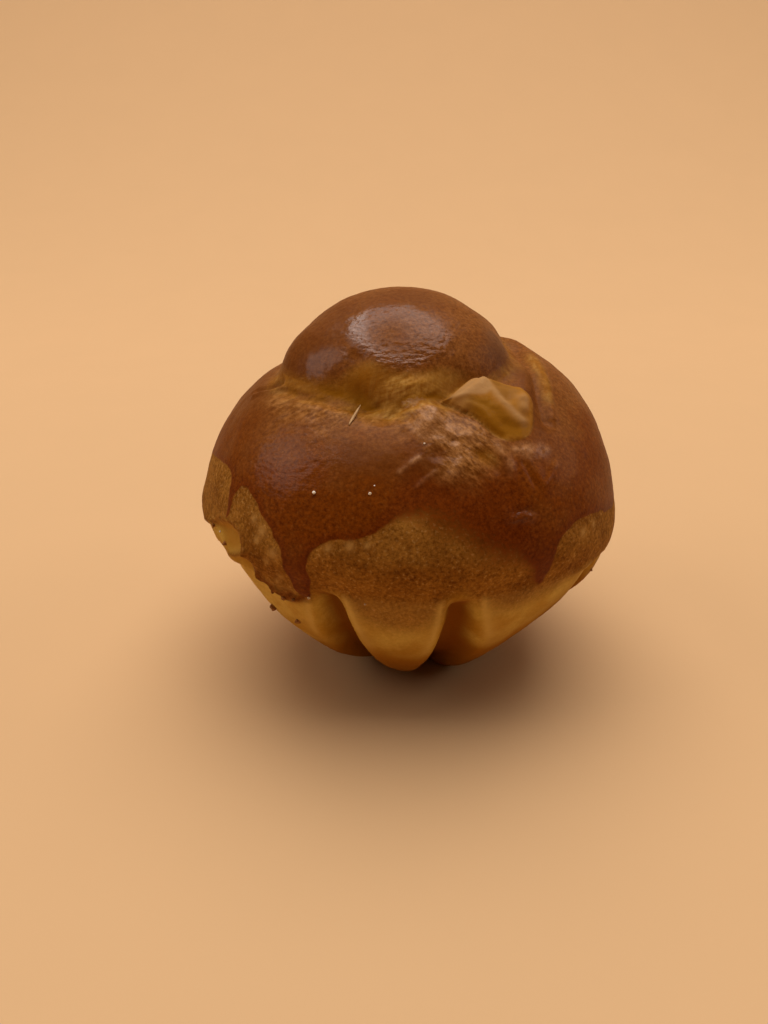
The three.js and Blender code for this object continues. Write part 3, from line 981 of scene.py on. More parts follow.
def pale_mask(skin):
    """Golden dough that baked against the tin."""
    crisp = skin.band(PALE_CRISP_BAND)
    below = between(PALE_RAGGED, crisp) * skin.noise(PALE_RAGGED_SIZE) - skin.above(PALE_EDGE)
    return smooth_step(below / between(PALE_SOFT, crisp), -1, 1)


def sole_mask(skin):
    """Browner dough towards the base, partly painted shade, from higher up on the right and from lower down
    on the left.
    """
    height = skin.height - SOLE_RIGHT_RAISE * skin.around(SOLE_RIGHT) + SOLE_LEFT_DROP * skin.band(SOLE_LEFT)
    return smooth_step(height + SOLE_RAGGED * skin.noise(SOLE_RAGGED_SIZE), *SOLE_HEIGHTS)


def facet_mask(skin):
    """Flat amber places below the left rim."""
    return smooth_step(np.maximum(skin.inside(UPPER_FACET), skin.inside(LOWER_FACET)), *FACET_EDGE)


def rim_mask(skin):
    """Toasted crumbs along the left rim, thickest where the glaze ran down."""
    broken = smooth_step(skin.noise(RIM_BREAK_SIZE), *RIM_BREAK_EDGE)
    rim = RIM_SHARE * broken * skin.along(RIM_LINE, RIM_WIDTH)
    ridge = FACET_RIDGE_SHARE * skin.along(FACET_RIDGE, RIM_WIDTH)
    ragged = RIM_TOASTED_RAGGED * skin.noise(RIM_TOASTED_RAGGED_SIZE)
    toasted = hump(line_gap(skin.toward, RIM_TOASTED) + ragged, RIM_TOASTED_WIDTH)
    return np.maximum.reduce([rim, ridge, toasted])


def burst_masks(skin):
    """The burst's papery, moist and shaded skin."""
    hollow = skin.patch(BURST_HOLLOW, HOLLOW_EDGE)
    pouch = skin.patch(BURST_POUCH, POUCH_EDGE)
    parts = {
        "fold": skin.along(BURST_FOLD, PAPER_FOLD_WIDTH),
        "lid": skin.patch(BURST_LID, LID_EDGE),
        "knob": skin.patch(BURST_KNOB, KNOB_EDGE),
        "pouch": pouch,
        "end": skin.spot(BURST_END),
    }
    papery = sum(share * parts[name] for name, share in PAPERY_SHARES.items())
    papery = np.clip(papery, 0, PAPERY_MOST) * smooth_step(skin.in_burst, *PAPERY_EDGE)
    shaded = HOLLOW_SHADE * hollow * skin.up(HOLLOW_SHADE_ELEVATIONS)
    shaded = shaded + pouch * between(POUCH_SHADE, skin.spot(POUCH_BOTTOM))
    shaded = shaded + HEM_SHADE * skin.along(BURST_HEM, HEM_SHADE_WIDTH)
    return papery, np.maximum(hollow, pouch), shaded * smooth_step(skin.in_burst, *SHADE_EDGE)


def crease_mask(skin):
    """The crease between head and body, darker for moist dough and partly as painted shade, broken by a pale
    lump.
    """
    pockets = sum(skin.spot(place) for place in CREASE_POCKETS)
    crease = skin.along(CREASE_LINE, CREASE_WIDTH) + CREASE_POCKET_SHARE * pockets
    return crease * (1 - CREASE_LUMP_COVER * skin.spot(CREASE_LUMP))


def tan_and_sheen_mask(skin, on_ridge, crumpled, broken):
    """Tan ridges and crumpled skin below the burst with painted sheen, in patches, and a painted highlight on
    a lump.
    """
    tan_and_sheen = np.maximum(on_ridge * skin.up(RIDGE_FADE_ELEVATIONS), crumpled) * between(TAN_SHARES, broken)
    # Painted highlight on one lump
    tan_and_sheen = np.clip(tan_and_sheen + HIGHLIGHT_LUMP_SHARE * skin.spot(HIGHLIGHT_LUMP), 0, 1)
    return tan_and_sheen * (1 - skin.spot(DARK_LUMP))


def gloss_mask(skin, on_ridge, broken):
    """Glossy patches of glaze with ragged borders."""
    ragged = skin.noise(GLOSS_RAGGED_SIZE)
    gloss = np.zeros_like(skin.azimuth)
    for outline, soft, strength in GLOSS_PATCHES:
        gloss = np.maximum(gloss, strength * smooth_step(skin.inside(outline) + ragged, -soft, soft))
    gloss = gloss * (1 - RING_HOLLOW_DULL * skin.spot(RING_HOLLOW))
    return np.clip(gloss + RIDGE_GLOSS * on_ridge * broken, 0, 1)


def skin_masks(skin):
    """How much of each finish every point has, by the name that the crust's material reads."""
    level = np.clip(skin.height / RIM_HEIGHT, 0, 1)
    groove = groove_share(skin.azimuth, level)
    below_rim = smooth_step(level, *BELOW_RIM)
    on_flank = smooth_step(skin.over_body, *FLANK_EDGE) * skin.by_head
    smooth_flank = FLANK_SMOOTH * on_flank * (1 - skin.spot(FLANK_LUMPS))
    _, on_ridge = stretch_fan(skin)
    broken = smooth_step(skin.noise(TAN_PATCH_SIZE), *TAN_PATCH_EDGE)
    crumpled = np.maximum(skin.patch(CRUMPLED_LUMPS, CRUMPLED_EDGE), skin.patch(CRUMPLED_HEM, CRUMPLED_EDGE))
    off_burst = smooth_step(skin.in_burst, *BURST_SURROUNDS)
    papery, moist, shaded = burst_masks(skin)
    gloss = gloss_mask(skin, on_ridge, broken)
    pulled = PULLED_SHARE * skin.up(PULLED_ELEVATIONS) * smooth_step(skin.over_body, *PULLED_FOOT)
    return {
        "wash": wash_mask(skin),
        # Painted shade: darker glaze towards the lower dome
        "lower_shade": skin.up(LOWER_SHADE_ELEVATIONS),
        "raw": raw_mask(skin),
        "stretch": stretch_mask(skin),
        # Darker crease and burst hollows, partly painted shade
        "deep": np.clip(crease_mask(skin) + shaded, 0, 1),
        # Browner towards the base, partly painted shade
        "sole": sole_mask(skin),
        "papery": papery,
        "moist": moist,
        # Tan torn skin with painted sheen
        "tan_and_sheen": tan_and_sheen_mask(skin, on_ridge, crumpled, broken) * off_burst,
        "crumpled": crumpled * off_burst,
        # Spots of darker glaze, partly toast and partly painted shade
        "darkening": skin.spots(TOAST_AND_SHADE_SPOTS),
        "pale": pale_mask(skin),
        "facet": facet_mask(skin),
        # Grooves: browner dough, partly painted shade
        "groove": smooth_step(groove, *GROOVE_TINT) * below_rim,
        "fan": skin.around(FAN_START) * smooth_step(np.abs(skin.azimuth), *FAN_END),
        "flank": FLANK_STRANDS * on_flank,
        "torn": smooth_step(skin.in_burst, *TORN_EDGE) * (1 - smooth_flank),
        "pulled": pulled * skin.band(PULLED_BAND),
        # Painted highlight along the lobes' edges
        "lip": hump(groove - LOBE_EDGE, LOBE_EDGE_WIDTH) * below_rim * smooth_step(level, *LOBE_EDGE_LEVELS),
        "rim": rim_mask(skin),
        "scorch": skin.spots(SCORCH_SPOTS),
        "gloss": gloss,
        "wrinkle": np.sqrt(gloss) * (1 - CHEEK_SMOOTH * skin.patch(CHEEK_SHEEN, CHEEK_EDGE)),
        "blister": BLISTER_PALE * skin.spots(BLISTERS),
    }


# Relief of the baked skin, in millimetres along the normal

def drawn_out(points, lean, length, width):
    """Noise coordinates drawn out along a direction that leans up to the right."""
    turn = math.radians(lean)
    along = points[..., 0] * math.cos(turn) + points[..., 2] * math.sin(turn)
    across = points[..., 2] * math.cos(turn) - points[..., 0] * math.sin(turn)
    return np.stack([along / length, across / width, points[..., 1] / length], axis=-1)


def stretch_fan(skin):
    """Height of the fan's ridges, and how much each place lies on one."""
    height = np.zeros_like(skin.azimuth)
    on_ridge = np.zeros_like(skin.azimuth)
    for line, width, rise in FAN_RIDGES:
        profile = skin.along(rounded(line, 1), width)
        height = np.maximum(height, rise * profile)
        on_ridge = np.maximum(on_ridge, profile)
    return height, on_ridge


def pulled_skin(skin, masks):
    """Height of the wrinkles of pulled dough, and how much each place is a ridge."""
    burst = smooth_step(skin.in_burst, *BURST_COVER)
    flank = masks["raw"] * smooth_step(skin.over_body, *FLANK_EDGE) * (1 - burst) * skin.by_head
    lumpy = flank * skin.spot(FLANK_LUMPS)
    lip = np.maximum(masks["stretch"], masks["raw"] * skin.by_head)
    lip = lip * smooth_step(skin.over_body, *LIP_FOOT) * (1 - burst)
    left_lines = skin.wrinkles(*LEFT_WRINKLES)
    right_lines = skin.wrinkles(*RIGHT_WRINKLES)
    lines = left_lines + (right_lines - left_lines) * skin.around(RIGHT_WRINKLE_AZIMUTHS)
    streaks = skin.wrinkles(*FLANK_WRINKLES)
    fan, _ = stretch_fan(skin)
    crumple = ridges_at(skin.points, CRUMPLE_SIZE)
    height = LIP_WRINKLE_HEIGHT * lip * lines + FLANK_WRINKLE_HEIGHT * flank * streaks
    height = height + LUMPY_WRINKLE_HEIGHT * lumpy * left_lines + fan * (1 - burst)
    height = height + (BURST_CRUMPLE * burst + CRUMPLE_HEIGHT * masks["crumpled"]) * crumple

    on_lines = smooth_step(lines, *RIDGE_EDGE)
    on_streaks = FLANK_RIDGE_MEAN + FLANK_RIDGE_SWING * streaks
    ridge = on_lines + (on_streaks - on_lines) * flank + LUMPY_RIDGE * lumpy
    # A spot of paler fibre on the head's flank is painted light
    ridge = ridge + FLANK_LIT_SHARE * skin.spot(FLANK_LIT_SPOT) + CREASE_LUMP_PALE * skin.spot(CREASE_LUMP)
    on_burst = BURST_RIDGE_MEAN + BURST_RIDGE_SWING * skin.noise(BURST_RIDGE_SIZE)
    on_burst = on_burst + BURST_RIDGE_CRUMPLE * crumple
    return height, np.clip(ridge, 0, 1) * (1 - burst) + burst * on_burst


def skin_relief(skin, masks):
    """Height of the baked skin over the solid's form."""
    washed = smooth_step(masks["wash"], *GLAZE_EDGE)
    relief = sum(height * skin.noise(size) for height, size in SKIN_WAVES)
    ring_wrinkles = ridges_at(drawn_out(skin.points, *RING_WRINKLES), 1)
    relief += RING_WRINKLE_HEIGHT * skin.patch(HEAD_RING, RING_EDGE) * ring_wrinkles
    for (height, size), cover in ((GLAZE_GRAIN, washed), (BARE_GRAIN, 1 - washed)):
        relief += height * cover * skin.noise(size)
    crags = sum(height * skin.along(line, width) for line, width, height in CRAGS)
    relief += crags * (CRAG_MEAN + CRAG_SWING * skin.noise(CRAG_SIZE, 3)) * skin.around(CRAG_AZIMUTHS)
    below = -skin.above(PALE_EDGE)
    recess = smooth_step(below, *RECESS_STEP) * smooth_step(below, *RECESS_FADE)
    relief -= RECESS_DEPTH * recess * skin.band(RECESS_BAND)
    for line, width, height in FOLDS.values():
        relief += height * skin.along(line, width)
    for outline, full, height in SWELLINGS.values():
        relief += height * skin.patch(outline, (SWELLING_FOOT, full))
    relief += lump_height(skin.toward, FINE_LUMPS)
    relief += BLISTER_RISE * masks["blister"]
    return relief + GLAZE_THICKNESS * washed * (1 - masks["raw"])


# Meshes

def grid_normals(points):
    """Outward normals of a grid that closes on itself along its second axis."""
    around = np.roll(points, -1, axis=1) - np.roll(points, 1, axis=1)
    up = np.gradient(points, axis=0)
    normals = np.cross(around, up)
    return normals / np.maximum(np.linalg.norm(normals, axis=-1, keepdims=True), 1e-9)


def mesh_object(name, points, faces, material):
    mesh = bpy.data.meshes.new(name)
    mesh.from_pydata((np.asarray(points) * MM).tolist(), [], faces)
    mesh.update()
    mesh.shade_smooth()
    mesh.materials.append(material)
    made = bpy.data.objects.new(name, mesh)
    bpy.context.scene.collection.objects.link(made)
    return made


def crust_grid():
    even = np.arange(COLUMNS) * 360 / COLUMNS - 180
    pull = COLUMN_CROWD * np.sin(np.radians(even - COLUMN_CROWD_AZIMUTH))
    columns = (even - np.degrees(pull) + 180) % 360 - 180
    stops = np.array(ROW_STOPS, dtype=float)
    rows = np.interp(np.arange(1, ROWS), stops[:, 0], stops[:, 1])
    return np.meshgrid(columns, rows)


def grid_faces(rows, columns):
    """Quads of the grid, and a fan to the point below and the point above it."""
    index = np.arange(rows * columns).reshape(rows, columns)
    beside = np.roll(index, -1, axis=1)
    quads = np.stack([index[:-1], beside[:-1], beside[1:], index[1:]], axis=-1).reshape(-1, 4).tolist()
    below = rows * columns
    above = below + 1
    fans = [(below, b, a) for a, b in zip(index[0], beside[0])]
    fans += [(above, a, b) for a, b in zip(index[-1], beside[-1])]
    return quads + [tuple(int(i) for i in fan) for fan in fans]


def make_crust(material):
    skin = Skin()
    masks = skin_masks(skin)
    wrinkles, masks["ridge"] = pulled_skin(skin, masks)
    relief = (skin_relief(skin, masks) + wrinkles) * smooth_step(skin.height, *RELIEF_FOOT)
    points = skin.points + grid_normals(skin.points) * relief[..., None]
    points[..., 2] = np.maximum(points[..., 2], 0)

    ends = np.array([[0, 0, 0], points[-1].mean(axis=0)])
    every_point = np.concatenate([points.reshape(-1, 3), ends])
    crust = mesh_object("crust", every_point, grid_faces(*skin.azimuth.shape), material)
    for name, values in masks.items():
        ring_ends = [values[0].mean(), values[-1].mean()]
        attribute = crust.data.attributes.new(name, "FLOAT", "POINT")
        attribute.data.foreach_set("value", np.concatenate([values.ravel(), ring_ends]).astype(np.float32))
    return crust


# Loose bits

def skin_hit(crust, azimuth, elevation):
    """The place on the crust toward a direction, and the normal there."""
    outward = Vector(direction(azimuth, elevation))
    start = Vector(CORE) * MM + outward * (FAR_OUTSIDE * MM)
    _, place, normal, _ = crust.ray_cast(start, -outward)
    return np.array(place) / MM, np.array(normal)


def round_lump():
    """Points and faces of a ball of radius 1."""
    shape = bmesh.new()
    bmesh.ops.create_icosphere(shape, subdivisions=BIT_SUBDIVISIONS, radius=1)
    points = np.array([vertex.co for vertex in shape.verts])
    faces = [[vertex.index for vertex in face.verts] for face in shape.faces]
    shape.free()
    return points, faces


def places_behind(draw, count, sizes):
    """Scattered places round the back, along the rim and below it."""
    turns = draw.uniform(*AZIMUTHS_BEHIND, count)
    rises = draw.normal(ELEVATION_BEHIND, ELEVATION_SPREAD_BEHIND, count)
    radii = draw.uniform(*sizes, count)
    return [(azimuth_gap(turn, 0), rise, radius) for turn, rise, radius in zip(turns, rises, radii)]


def make_bits(name, crust, places, uneven, draw, material):
    """Uneven lumps that sit half sunk in the crust, joined in one mesh."""
    ball, ball_faces = round_lump()
    points = []
    faces = []
    for number, (azimuth, elevation, radius) in enumerate(places):
        place, normal = skin_hit(crust, azimuth, elevation)
        bumps = 1 + uneven * noise_at(ball + BIT_BUMP_SHIFT * number, BIT_BUMP_SIZE)
        squash = draw.uniform(*BIT_SQUASH, 3)
        faces += [[corner + number * len(ball) for corner in face] for face in ball_faces]
        points.append(place + BIT_STANDS_OUT * radius * normal + ball * bumps[:, None] * squash * radius)
    return mesh_object(name, np.concatenate(points), faces, material)


def make_flake(crust, material):
    """A thin dry blade of dough that stands off the lip at its tip."""
    base, outward = skin_hit(crust, *FLAKE_BASE)
    tip, _ = skin_hit(crust, *FLAKE_TIP)
    along = (tip - base) / np.linalg.norm(tip - base)
    across = np.cross(along, outward)
    shares = np.linspace(0, 1, FLAKE_STATIONS)
    slope = 0
    for share in shares[1:]:
        skin, _ = skin_hit(crust, *(1 - share) * np.array(FLAKE_BASE) + share * np.array(FLAKE_TIP))
        slope = max(slope, (skin - base) @ outward / share - (tip - base) @ outward)
    points = []
    for share in shares:
        middle = base + (tip - base) * share + outward * (slope * share + FLAKE_REST)
        taper = math.sin(math.pi * between(FLAKE_TAPER, share)) ** FLAKE_TAPER_POWER
        side = across * FLAKE_HALF_WIDTH * taper
        crown = outward * FLAKE_HALF_THICKNESS * taper
        points += [middle - side, middle - crown, middle + side, middle + 2 * crown]
    faces = [(0, 3, 2, 1)]
    for station in range(FLAKE_STATIONS - 1):
        first = 4 * station
        ring = [(first + corner, first + (corner + 1) % 4) for corner in range(4)]
        faces += [(start, end, end + 4, start + 4) for start, end in ring]
    last = 4 * (FLAKE_STATIONS - 1)
    faces.append((last, last + 1, last + 2, last + 3))
    return mesh_object("flake", points, faces, material)


# Shader helpers

def feed(tree, socket, value):
    if isinstance(value, bpy.types.NodeSocket):
        tree.links.new(value, socket)
    else:
        socket.default_value = value


def add_node(tree, kind, inputs=None, **settings):
    made = tree.nodes.new(kind)
    for name, value in settings.items():
        setattr(made, name, value)
    for name, value in (inputs or {}).items():
        feed(tree, made.inputs[name], value)
    return made


def mix_colour(tree, share, first, second, **settings):
    made = add_node(tree, "ShaderNodeMix", data_type="RGBA", **settings)
    feed(tree, made.inputs[0], share)
    for socket, colour in ((made.inputs[6], first), (made.inputs[7], second)):
        feed(tree, socket, colour if isinstance(colour, bpy.types.NodeSocket) else (*colour, 1))
    return made.outputs[2]


def mix_value(tree, share, first, second):
    made = add_node(tree, "ShaderNodeMix", data_type="FLOAT")
    for socket, value in zip(made.inputs[:1] + made.inputs[2:4], (share, first, second)):
        feed(tree, socket, value)
    return made.outputs[0]


def tint(tree, below, mask, colour, share=1.0):
    """Lays a colour over what lies below it where a mask shows, at most by the given share."""
    cover = mask if share == 1 else calculate(tree, "MULTIPLY", mask, share)
    return mix_colour(tree, cover, below, colour)


def calculate(tree, operation, *values):
    made = add_node(tree, "ShaderNodeMath", operation=operation)
    for socket, value in zip(made.inputs, values):
        feed(tree, socket, value)
    return made.outputs[0]


def add_noise(tree, place, scale, **inputs):
    made = add_node(tree, "ShaderNodeTexNoise", {"Vector": place, "Scale": scale, **inputs})
    return made.outputs["Fac"]


def add_bump(tree, height, distance, **inputs):
    """A bump's normal, from a height that counts in the given millimetres."""
    made = add_node(tree, "ShaderNodeBump", {"Height": height, "Distance": distance * MM, **inputs})
    return made.outputs["Normal"]


def fade(tree, value, low, high):
    """0 below the low value, 1 above the high one, smooth between."""
    made = add_node(tree, "ShaderNodeMapRange", interpolation_type="SMOOTHSTEP")
    feed(tree, made.inputs["Value"], value)
    made.inputs["From Min"].default_value = low
    made.inputs["From Max"].default_value = high
    return made.outputs["Result"]


def mask_of(tree, name):
    return add_node(tree, "ShaderNodeAttribute", attribute_name=name).outputs["Fac"]


def new_material(name):
    material = bpy.data.materials.new(name)
    material.use_nodes = True
    tree = material.node_tree
    return material, tree, tree.nodes["Principled BSDF"]


# Baked grain: the mottle, grain and flecks that all of the baked dough shares

def baked_grain_group():
    group = bpy.data.node_groups.new("Baked grain", "ShaderNodeTree")
    for name in ("Mottle Scale", "Grain Scale", "Fleck Scale"):
        group.interface.new_socket(name, in_out="INPUT", socket_type="NodeSocketFloat")
    for name in ("Mottle", "Grain", "Fleck"):
        group.interface.new_socket(name, in_out="OUTPUT", socket_type="NodeSocketFloat")
    asked = group.nodes.new("NodeGroupInput").outputs
    given = group.nodes.new("NodeGroupOutput").inputs
    place = group.nodes.new("ShaderNodeTexCoord").outputs["Object"]

    mottle = add_noise(group, place, asked["Mottle Scale"], Detail=5.0)
    grain = add_noise(group, place, asked["Grain Scale"], Detail=3.0, Roughness=0.7)
    fleck = add_noise(group, place, asked["Fleck Scale"], Detail=1.0)
    feed(group, given["Mottle"], fade(group, mottle, *MOTTLE_RANGE))
    feed(group, given["Grain"], grain)
    feed(group, given["Fleck"], fade(group, fleck, *FLECK_RANGE))
    return group


def add_grain(tree, group, mottle, grain, fleck):
    """Places the grain in a material, with the sizes of its lumps in millimetres."""
    made = add_node(tree, "ShaderNodeGroup", node_tree=group)
    for name, size in (("Mottle Scale", mottle), ("Grain Scale", grain), ("Fleck Scale", fleck)):
        made.inputs[name].default_value = 1 / (size * MM)
    return made.outputs


def grained(tree, grain, colour, amount):
    """Darkens and lightens a colour with the grain; light grains are also less yellow."""
    shade = add_node(tree, "ShaderNodeMapRange", {"Value": grain})
    shade.inputs["From Min"].default_value, shade.inputs["From Max"].default_value = GRAIN_RANGE
    dark = tuple(1 - amount * part for part in GRAIN_DARKENS)
    light = tuple(1 + amount * part for part in GRAIN_LIGHTENS)
    tone = mix_colour(tree, shade.outputs["Result"], dark, light)
    return mix_colour(tree, 1, colour, tone, blend_type="MULTIPLY")


# Materials

def glaze_cover(tree, grain):
    """Where the egg wash lies, and where it pooled along its border, which wobbles a little."""
    wobble = calculate(tree, "MULTIPLY_ADD", grain["Grain"], WASH_WOBBLE, -WASH_WOBBLE / 2)
    border = calculate(tree, "ADD", mask_of(tree, "wash"), wobble)
    covered = fade(tree, border, *WASH_BORDER)
    weight = calculate(tree, "SUBTRACT", 1.0, mask_of(tree, "raw"))
    by_border = calculate(tree, "SUBTRACT", 1.0, fade(tree, border, *POOL_WIDTH))
    return calculate(tree, "MULTIPLY", covered, weight), calculate(tree, "MULTIPLY", covered, by_border)


def gloss_wrinkles(tree):
    """Height of the fine wrinkles in the glossy patches."""
    place = tree.nodes.new("ShaderNodeTexCoord").outputs["Object"]
    drawn = add_node(tree, "ShaderNodeMapping", {"Vector": place, "Scale": WRINKLE_STRETCH})
    wrinkle = add_noise(tree, drawn.outputs["Vector"], 1 / (WRINKLE_SIZE * MM), Detail=3.0)
    return calculate(tree, "MULTIPLY", wrinkle, mask_of(tree, "wrinkle"))


def leaning_strands(tree, lean):
    """Noise drawn out along a direction that leans up to the right."""
    place = tree.nodes.new("ShaderNodeTexCoord").outputs["Object"]
    size = (STRAND_LENGTH * MM, STRAND_LENGTH * MM, STRAND_WIDTH * MM)
    turned = add_node(tree, "ShaderNodeMapping", {"Vector": place, "Scale": size}, vector_type="TEXTURE")
    turned.inputs["Rotation"].default_value = (0, -math.radians(lean), 0)
    return add_noise(tree, turned.outputs["Vector"], 1.0, Detail=3.0)


def dough_strands(tree):
    """Strands of pulled dough, which lean another way in the fan and on the head's flank."""
    level = leaning_strands(tree, STRAND_LEAN)
    falling = leaning_strands(tree, RIGHT_LEAN)
    upright = leaning_strands(tree, FLANK_LEAN)
    strand = mix_value(tree, mask_of(tree, "fan"), level, falling)
    return mix_value(tree, mask_of(tree, "flank"), strand, upright)


def bare_colour(tree, grain):
    """Dough without glaze: brown above the rim, golden where it baked against the tin."""
    bare = mix_colour(tree, grain["Mottle"], BARE_DARK, BARE_BROWN)
    bare = tint(tree, bare, grain["Fleck"], BARE_FLECK, TINT_SHARES["bare fleck"])
    bare = grained(tree, grain["Grain"], bare, GRAIN_AMOUNTS["bare"])
    wall = mix_colour(tree, grain["Mottle"], WALL_DEEP, WALL_GOLD)
    wall = grained(tree, grain["Grain"], wall, GRAIN_AMOUNTS["wall"])
    wall = tint(tree, wall, mask_of(tree, "facet"), FACET_AMBER, TINT_SHARES["facet"])
    colour = mix_colour(tree, mask_of(tree, "pale"), bare, wall)
    # Painted highlight along the lobes' edges
    colour = tint(tree, colour, mask_of(tree, "lip"), LOBE_EDGE_HIGHLIGHT, TINT_SHARES["lip"])
    # Browner dough and painted shade towards the base
    colour = tint(tree, colour, mask_of(tree, "sole"), SOLE_BROWN_AND_SHADE)
    # Grooves: browner dough and painted shade
    return tint(tree, colour, mask_of(tree, "groove"), GROOVE_BROWN_AND_SHADE, TINT_SHARES["groove"])


def wash_colour(tree, grain, strand, pooled):
    """Baked glaze: painted shade towards the lower dome, darker where it pooled, darker in spots of toast and
    painted shade, golden where it stretched, tan with painted sheen where it tore.
    """
    # Painted shade darkens the glaze towards the lower dome
    weight = calculate(tree, "ADD", mask_of(tree, "lower_shade"), GLAZE_DEPTH_MEAN)
    shade = calculate(tree, "MULTIPLY_ADD", grain["Mottle"], GLAZE_MOTTLE_SWING, weight)
    wash = mix_colour(tree, shade, WASH_WARM, WASH_DEEP)
    wash = tint(tree, wash, grain["Fleck"], BARE_FLECK, TINT_SHARES["wash fleck"])
    wash = tint(tree, wash, pooled, WASH_POOL, TINT_SHARES["pooled"])
    drawn = mix_value(tree, mask_of(tree, "pulled"), grain["Grain"], strand)
    wash = grained(tree, drawn, wash, GRAIN_AMOUNTS["wash"])
    stretched = mix_colour(tree, fade(tree, strand, *BRIGHT_STRANDS), STRETCH_DEEP, STRETCHED)
    stretched = grained(tree, grain["Grain"], stretched, GRAIN_AMOUNTS["stretched"])
    wash = mix_colour(tree, mask_of(tree, "stretch"), wash, stretched)
    # Spots of toast and of painted shade darken the glaze
    wash = tint(tree, wash, mask_of(tree, "darkening"), WASH_TOAST_AND_SHADE, TINT_SHARES["darkening"])
    # Tan of torn skin with painted sheen, speckled by the grain
    speckled = mix_value(tree, fade(tree, grain["Grain"], *TAN_GRAIN), *TAN_SPECKLE)
    return tint(tree, wash, calculate(tree, "MULTIPLY", mask_of(tree, "tan_and_sheen"), speckled), RIDGE_TAN_AND_SHEEN)


def raw_colour(tree, strand):
    """Underbaked dough: golden with pale fibres and a spot of painted light, moister in its hollows, and
    darker in its crease and hollows, partly moist dough and partly painted shade.
    """
    combed = calculate(tree, "MULTIPLY", fade(tree, strand, *BRIGHT_STRANDS), mask_of(tree, "torn"))
    fibre = calculate(tree, "MULTIPLY", mask_of(tree, "ridge"), calculate(tree, "ADD", combed, FIBRE_LEAST))
    raw = mix_colour(tree, fibre, RAW_GOLD, RAW_PALE)
    raw = tint(tree, raw, mask_of(tree, "moist"), RAW_MOIST)
    # Painted shade and moist dark dough in the crease and hollows
    raw = tint(tree, raw, mask_of(tree, "deep"), RAW_DEEP_AND_SHADE)
    drawn = mix_value(tree, mask_of(tree, "torn"), GRAIN_MEAN, strand)
    return grained(tree, drawn, raw, GRAIN_AMOUNTS["raw"])


def roughen_crust(tree, shader, grain, strand):
    """Bumps of the grain, the strands and the wrinkles; the glaze's own gloss has only the wrinkles."""
    torn = calculate(tree, "MAXIMUM", mask_of(tree, "stretch"), mask_of(tree, "raw"))
    torn = calculate(tree, "MULTIPLY", torn, mask_of(tree, "torn"))
    strands = calculate(tree, "MULTIPLY", strand, torn)
    wrinkles = gloss_wrinkles(tree)
    normal = add_bump(tree, grain["Grain"], GRAIN_BUMP, Strength=GRAIN_BUMP_STRENGTH)
    normal = add_bump(tree, strands, STRAND_BUMP, Normal=normal)
    feed(tree, shader.inputs["Normal"], add_bump(tree, wrinkles, WRINKLE_BUMP, Normal=normal))
    feed(tree, shader.inputs["Coat Normal"], add_bump(tree, wrinkles, WRINKLE_BUMP))


def crust_material(group):
    material, tree, shader = new_material("Baked crust")
    grain = add_grain(tree, group, **CRUST_GRAIN)
    covered, pooled = glaze_cover(tree, grain)
    strand = dough_strands(tree)

    colour = mix_colour(tree, covered, bare_colour(tree, grain), wash_colour(tree, grain, strand, pooled))
    colour = tint(tree, colour, mask_of(tree, "blister"), BARE_FLECK)
    darkening = grained(tree, grain["Grain"], RIM_TOAST, GRAIN_AMOUNTS["rim"])
    colour = tint(tree, colour, mask_of(tree, "rim"), darkening)
    colour = tint(tree, colour, mask_of(tree, "raw"), raw_colour(tree, strand))
    colour = tint(tree, colour, mask_of(tree, "papery"), PAPER_SKIN)
    colour = tint(tree, colour, mask_of(tree, "scorch"), SCORCHED, TINT_SHARES["scorch"])
    feed(tree, shader.inputs["Base Color"], colour)

    feed(tree, shader.inputs["Roughness"], mix_value(tree, covered, BARE_ROUGHNESS, GLAZE_ROUGHNESS))
    sheen = calculate(tree, "MULTIPLY_ADD", mask_of(tree, "gloss"), GLOSS_SHEEN, GLAZE_SHEEN)
    shiny = calculate(tree, "MAXIMUM", covered, mask_of(tree, "raw"))
    feed(tree, shader.inputs["Coat Weight"], calculate(tree, "MULTIPLY", shiny, sheen))
    shader.inputs["Coat Roughness"].default_value = SHEEN_ROUGHNESS
    shader.inputs["Specular IOR Level"].default_value = CRUST_SPECULAR
    shader.inputs["Specular Tint"].default_value = CRUST_SPECULAR_TINT
    roughen_crust(tree, shader, grain, strand)
    return material


def bit_material(group, name, dark, light, roughness):
    """Finish of a loose bit: two shades of baked dough with grain."""
    material, tree, shader = new_material(name)
    grain = add_grain(tree, group, **BIT_GRAIN)
    colour = mix_colour(tree, grain["Mottle"], dark, light)
    feed(tree, shader.inputs["Base Color"], grained(tree, grain["Grain"], colour, GRAIN_AMOUNTS["bit"]))
    shader.inputs["Roughness"].default_value = roughness
    shader.inputs["Specular IOR Level"].default_value = BIT_SPECULAR
    feed(tree, shader.inputs["Normal"], add_bump(tree, grain["Grain"], BIT_BUMP, Strength=BIT_BUMP_STRENGTH))
    return material


def floor_material():
    material, tree, shader = new_material("Pale paper")
    place = tree.nodes.new("ShaderNodeTexCoord").outputs["Object"]
    fibre = add_noise(tree, place, FLOOR_FIBRE_SCALE, Detail=3.0)
    shade = tuple(FLOOR_FIBRE_SHADE * part for part in FLOOR_PEACH)
    feed(tree, shader.inputs["Base Color"], mix_colour(tree, fibre, shade, FLOOR_PEACH))
    shader.inputs["Roughness"].default_value = FLOOR_ROUGHNESS
    shader.inputs["Specular IOR Level"].default_value = FLOOR_SPECULAR
    return material


# Stage, light and camera

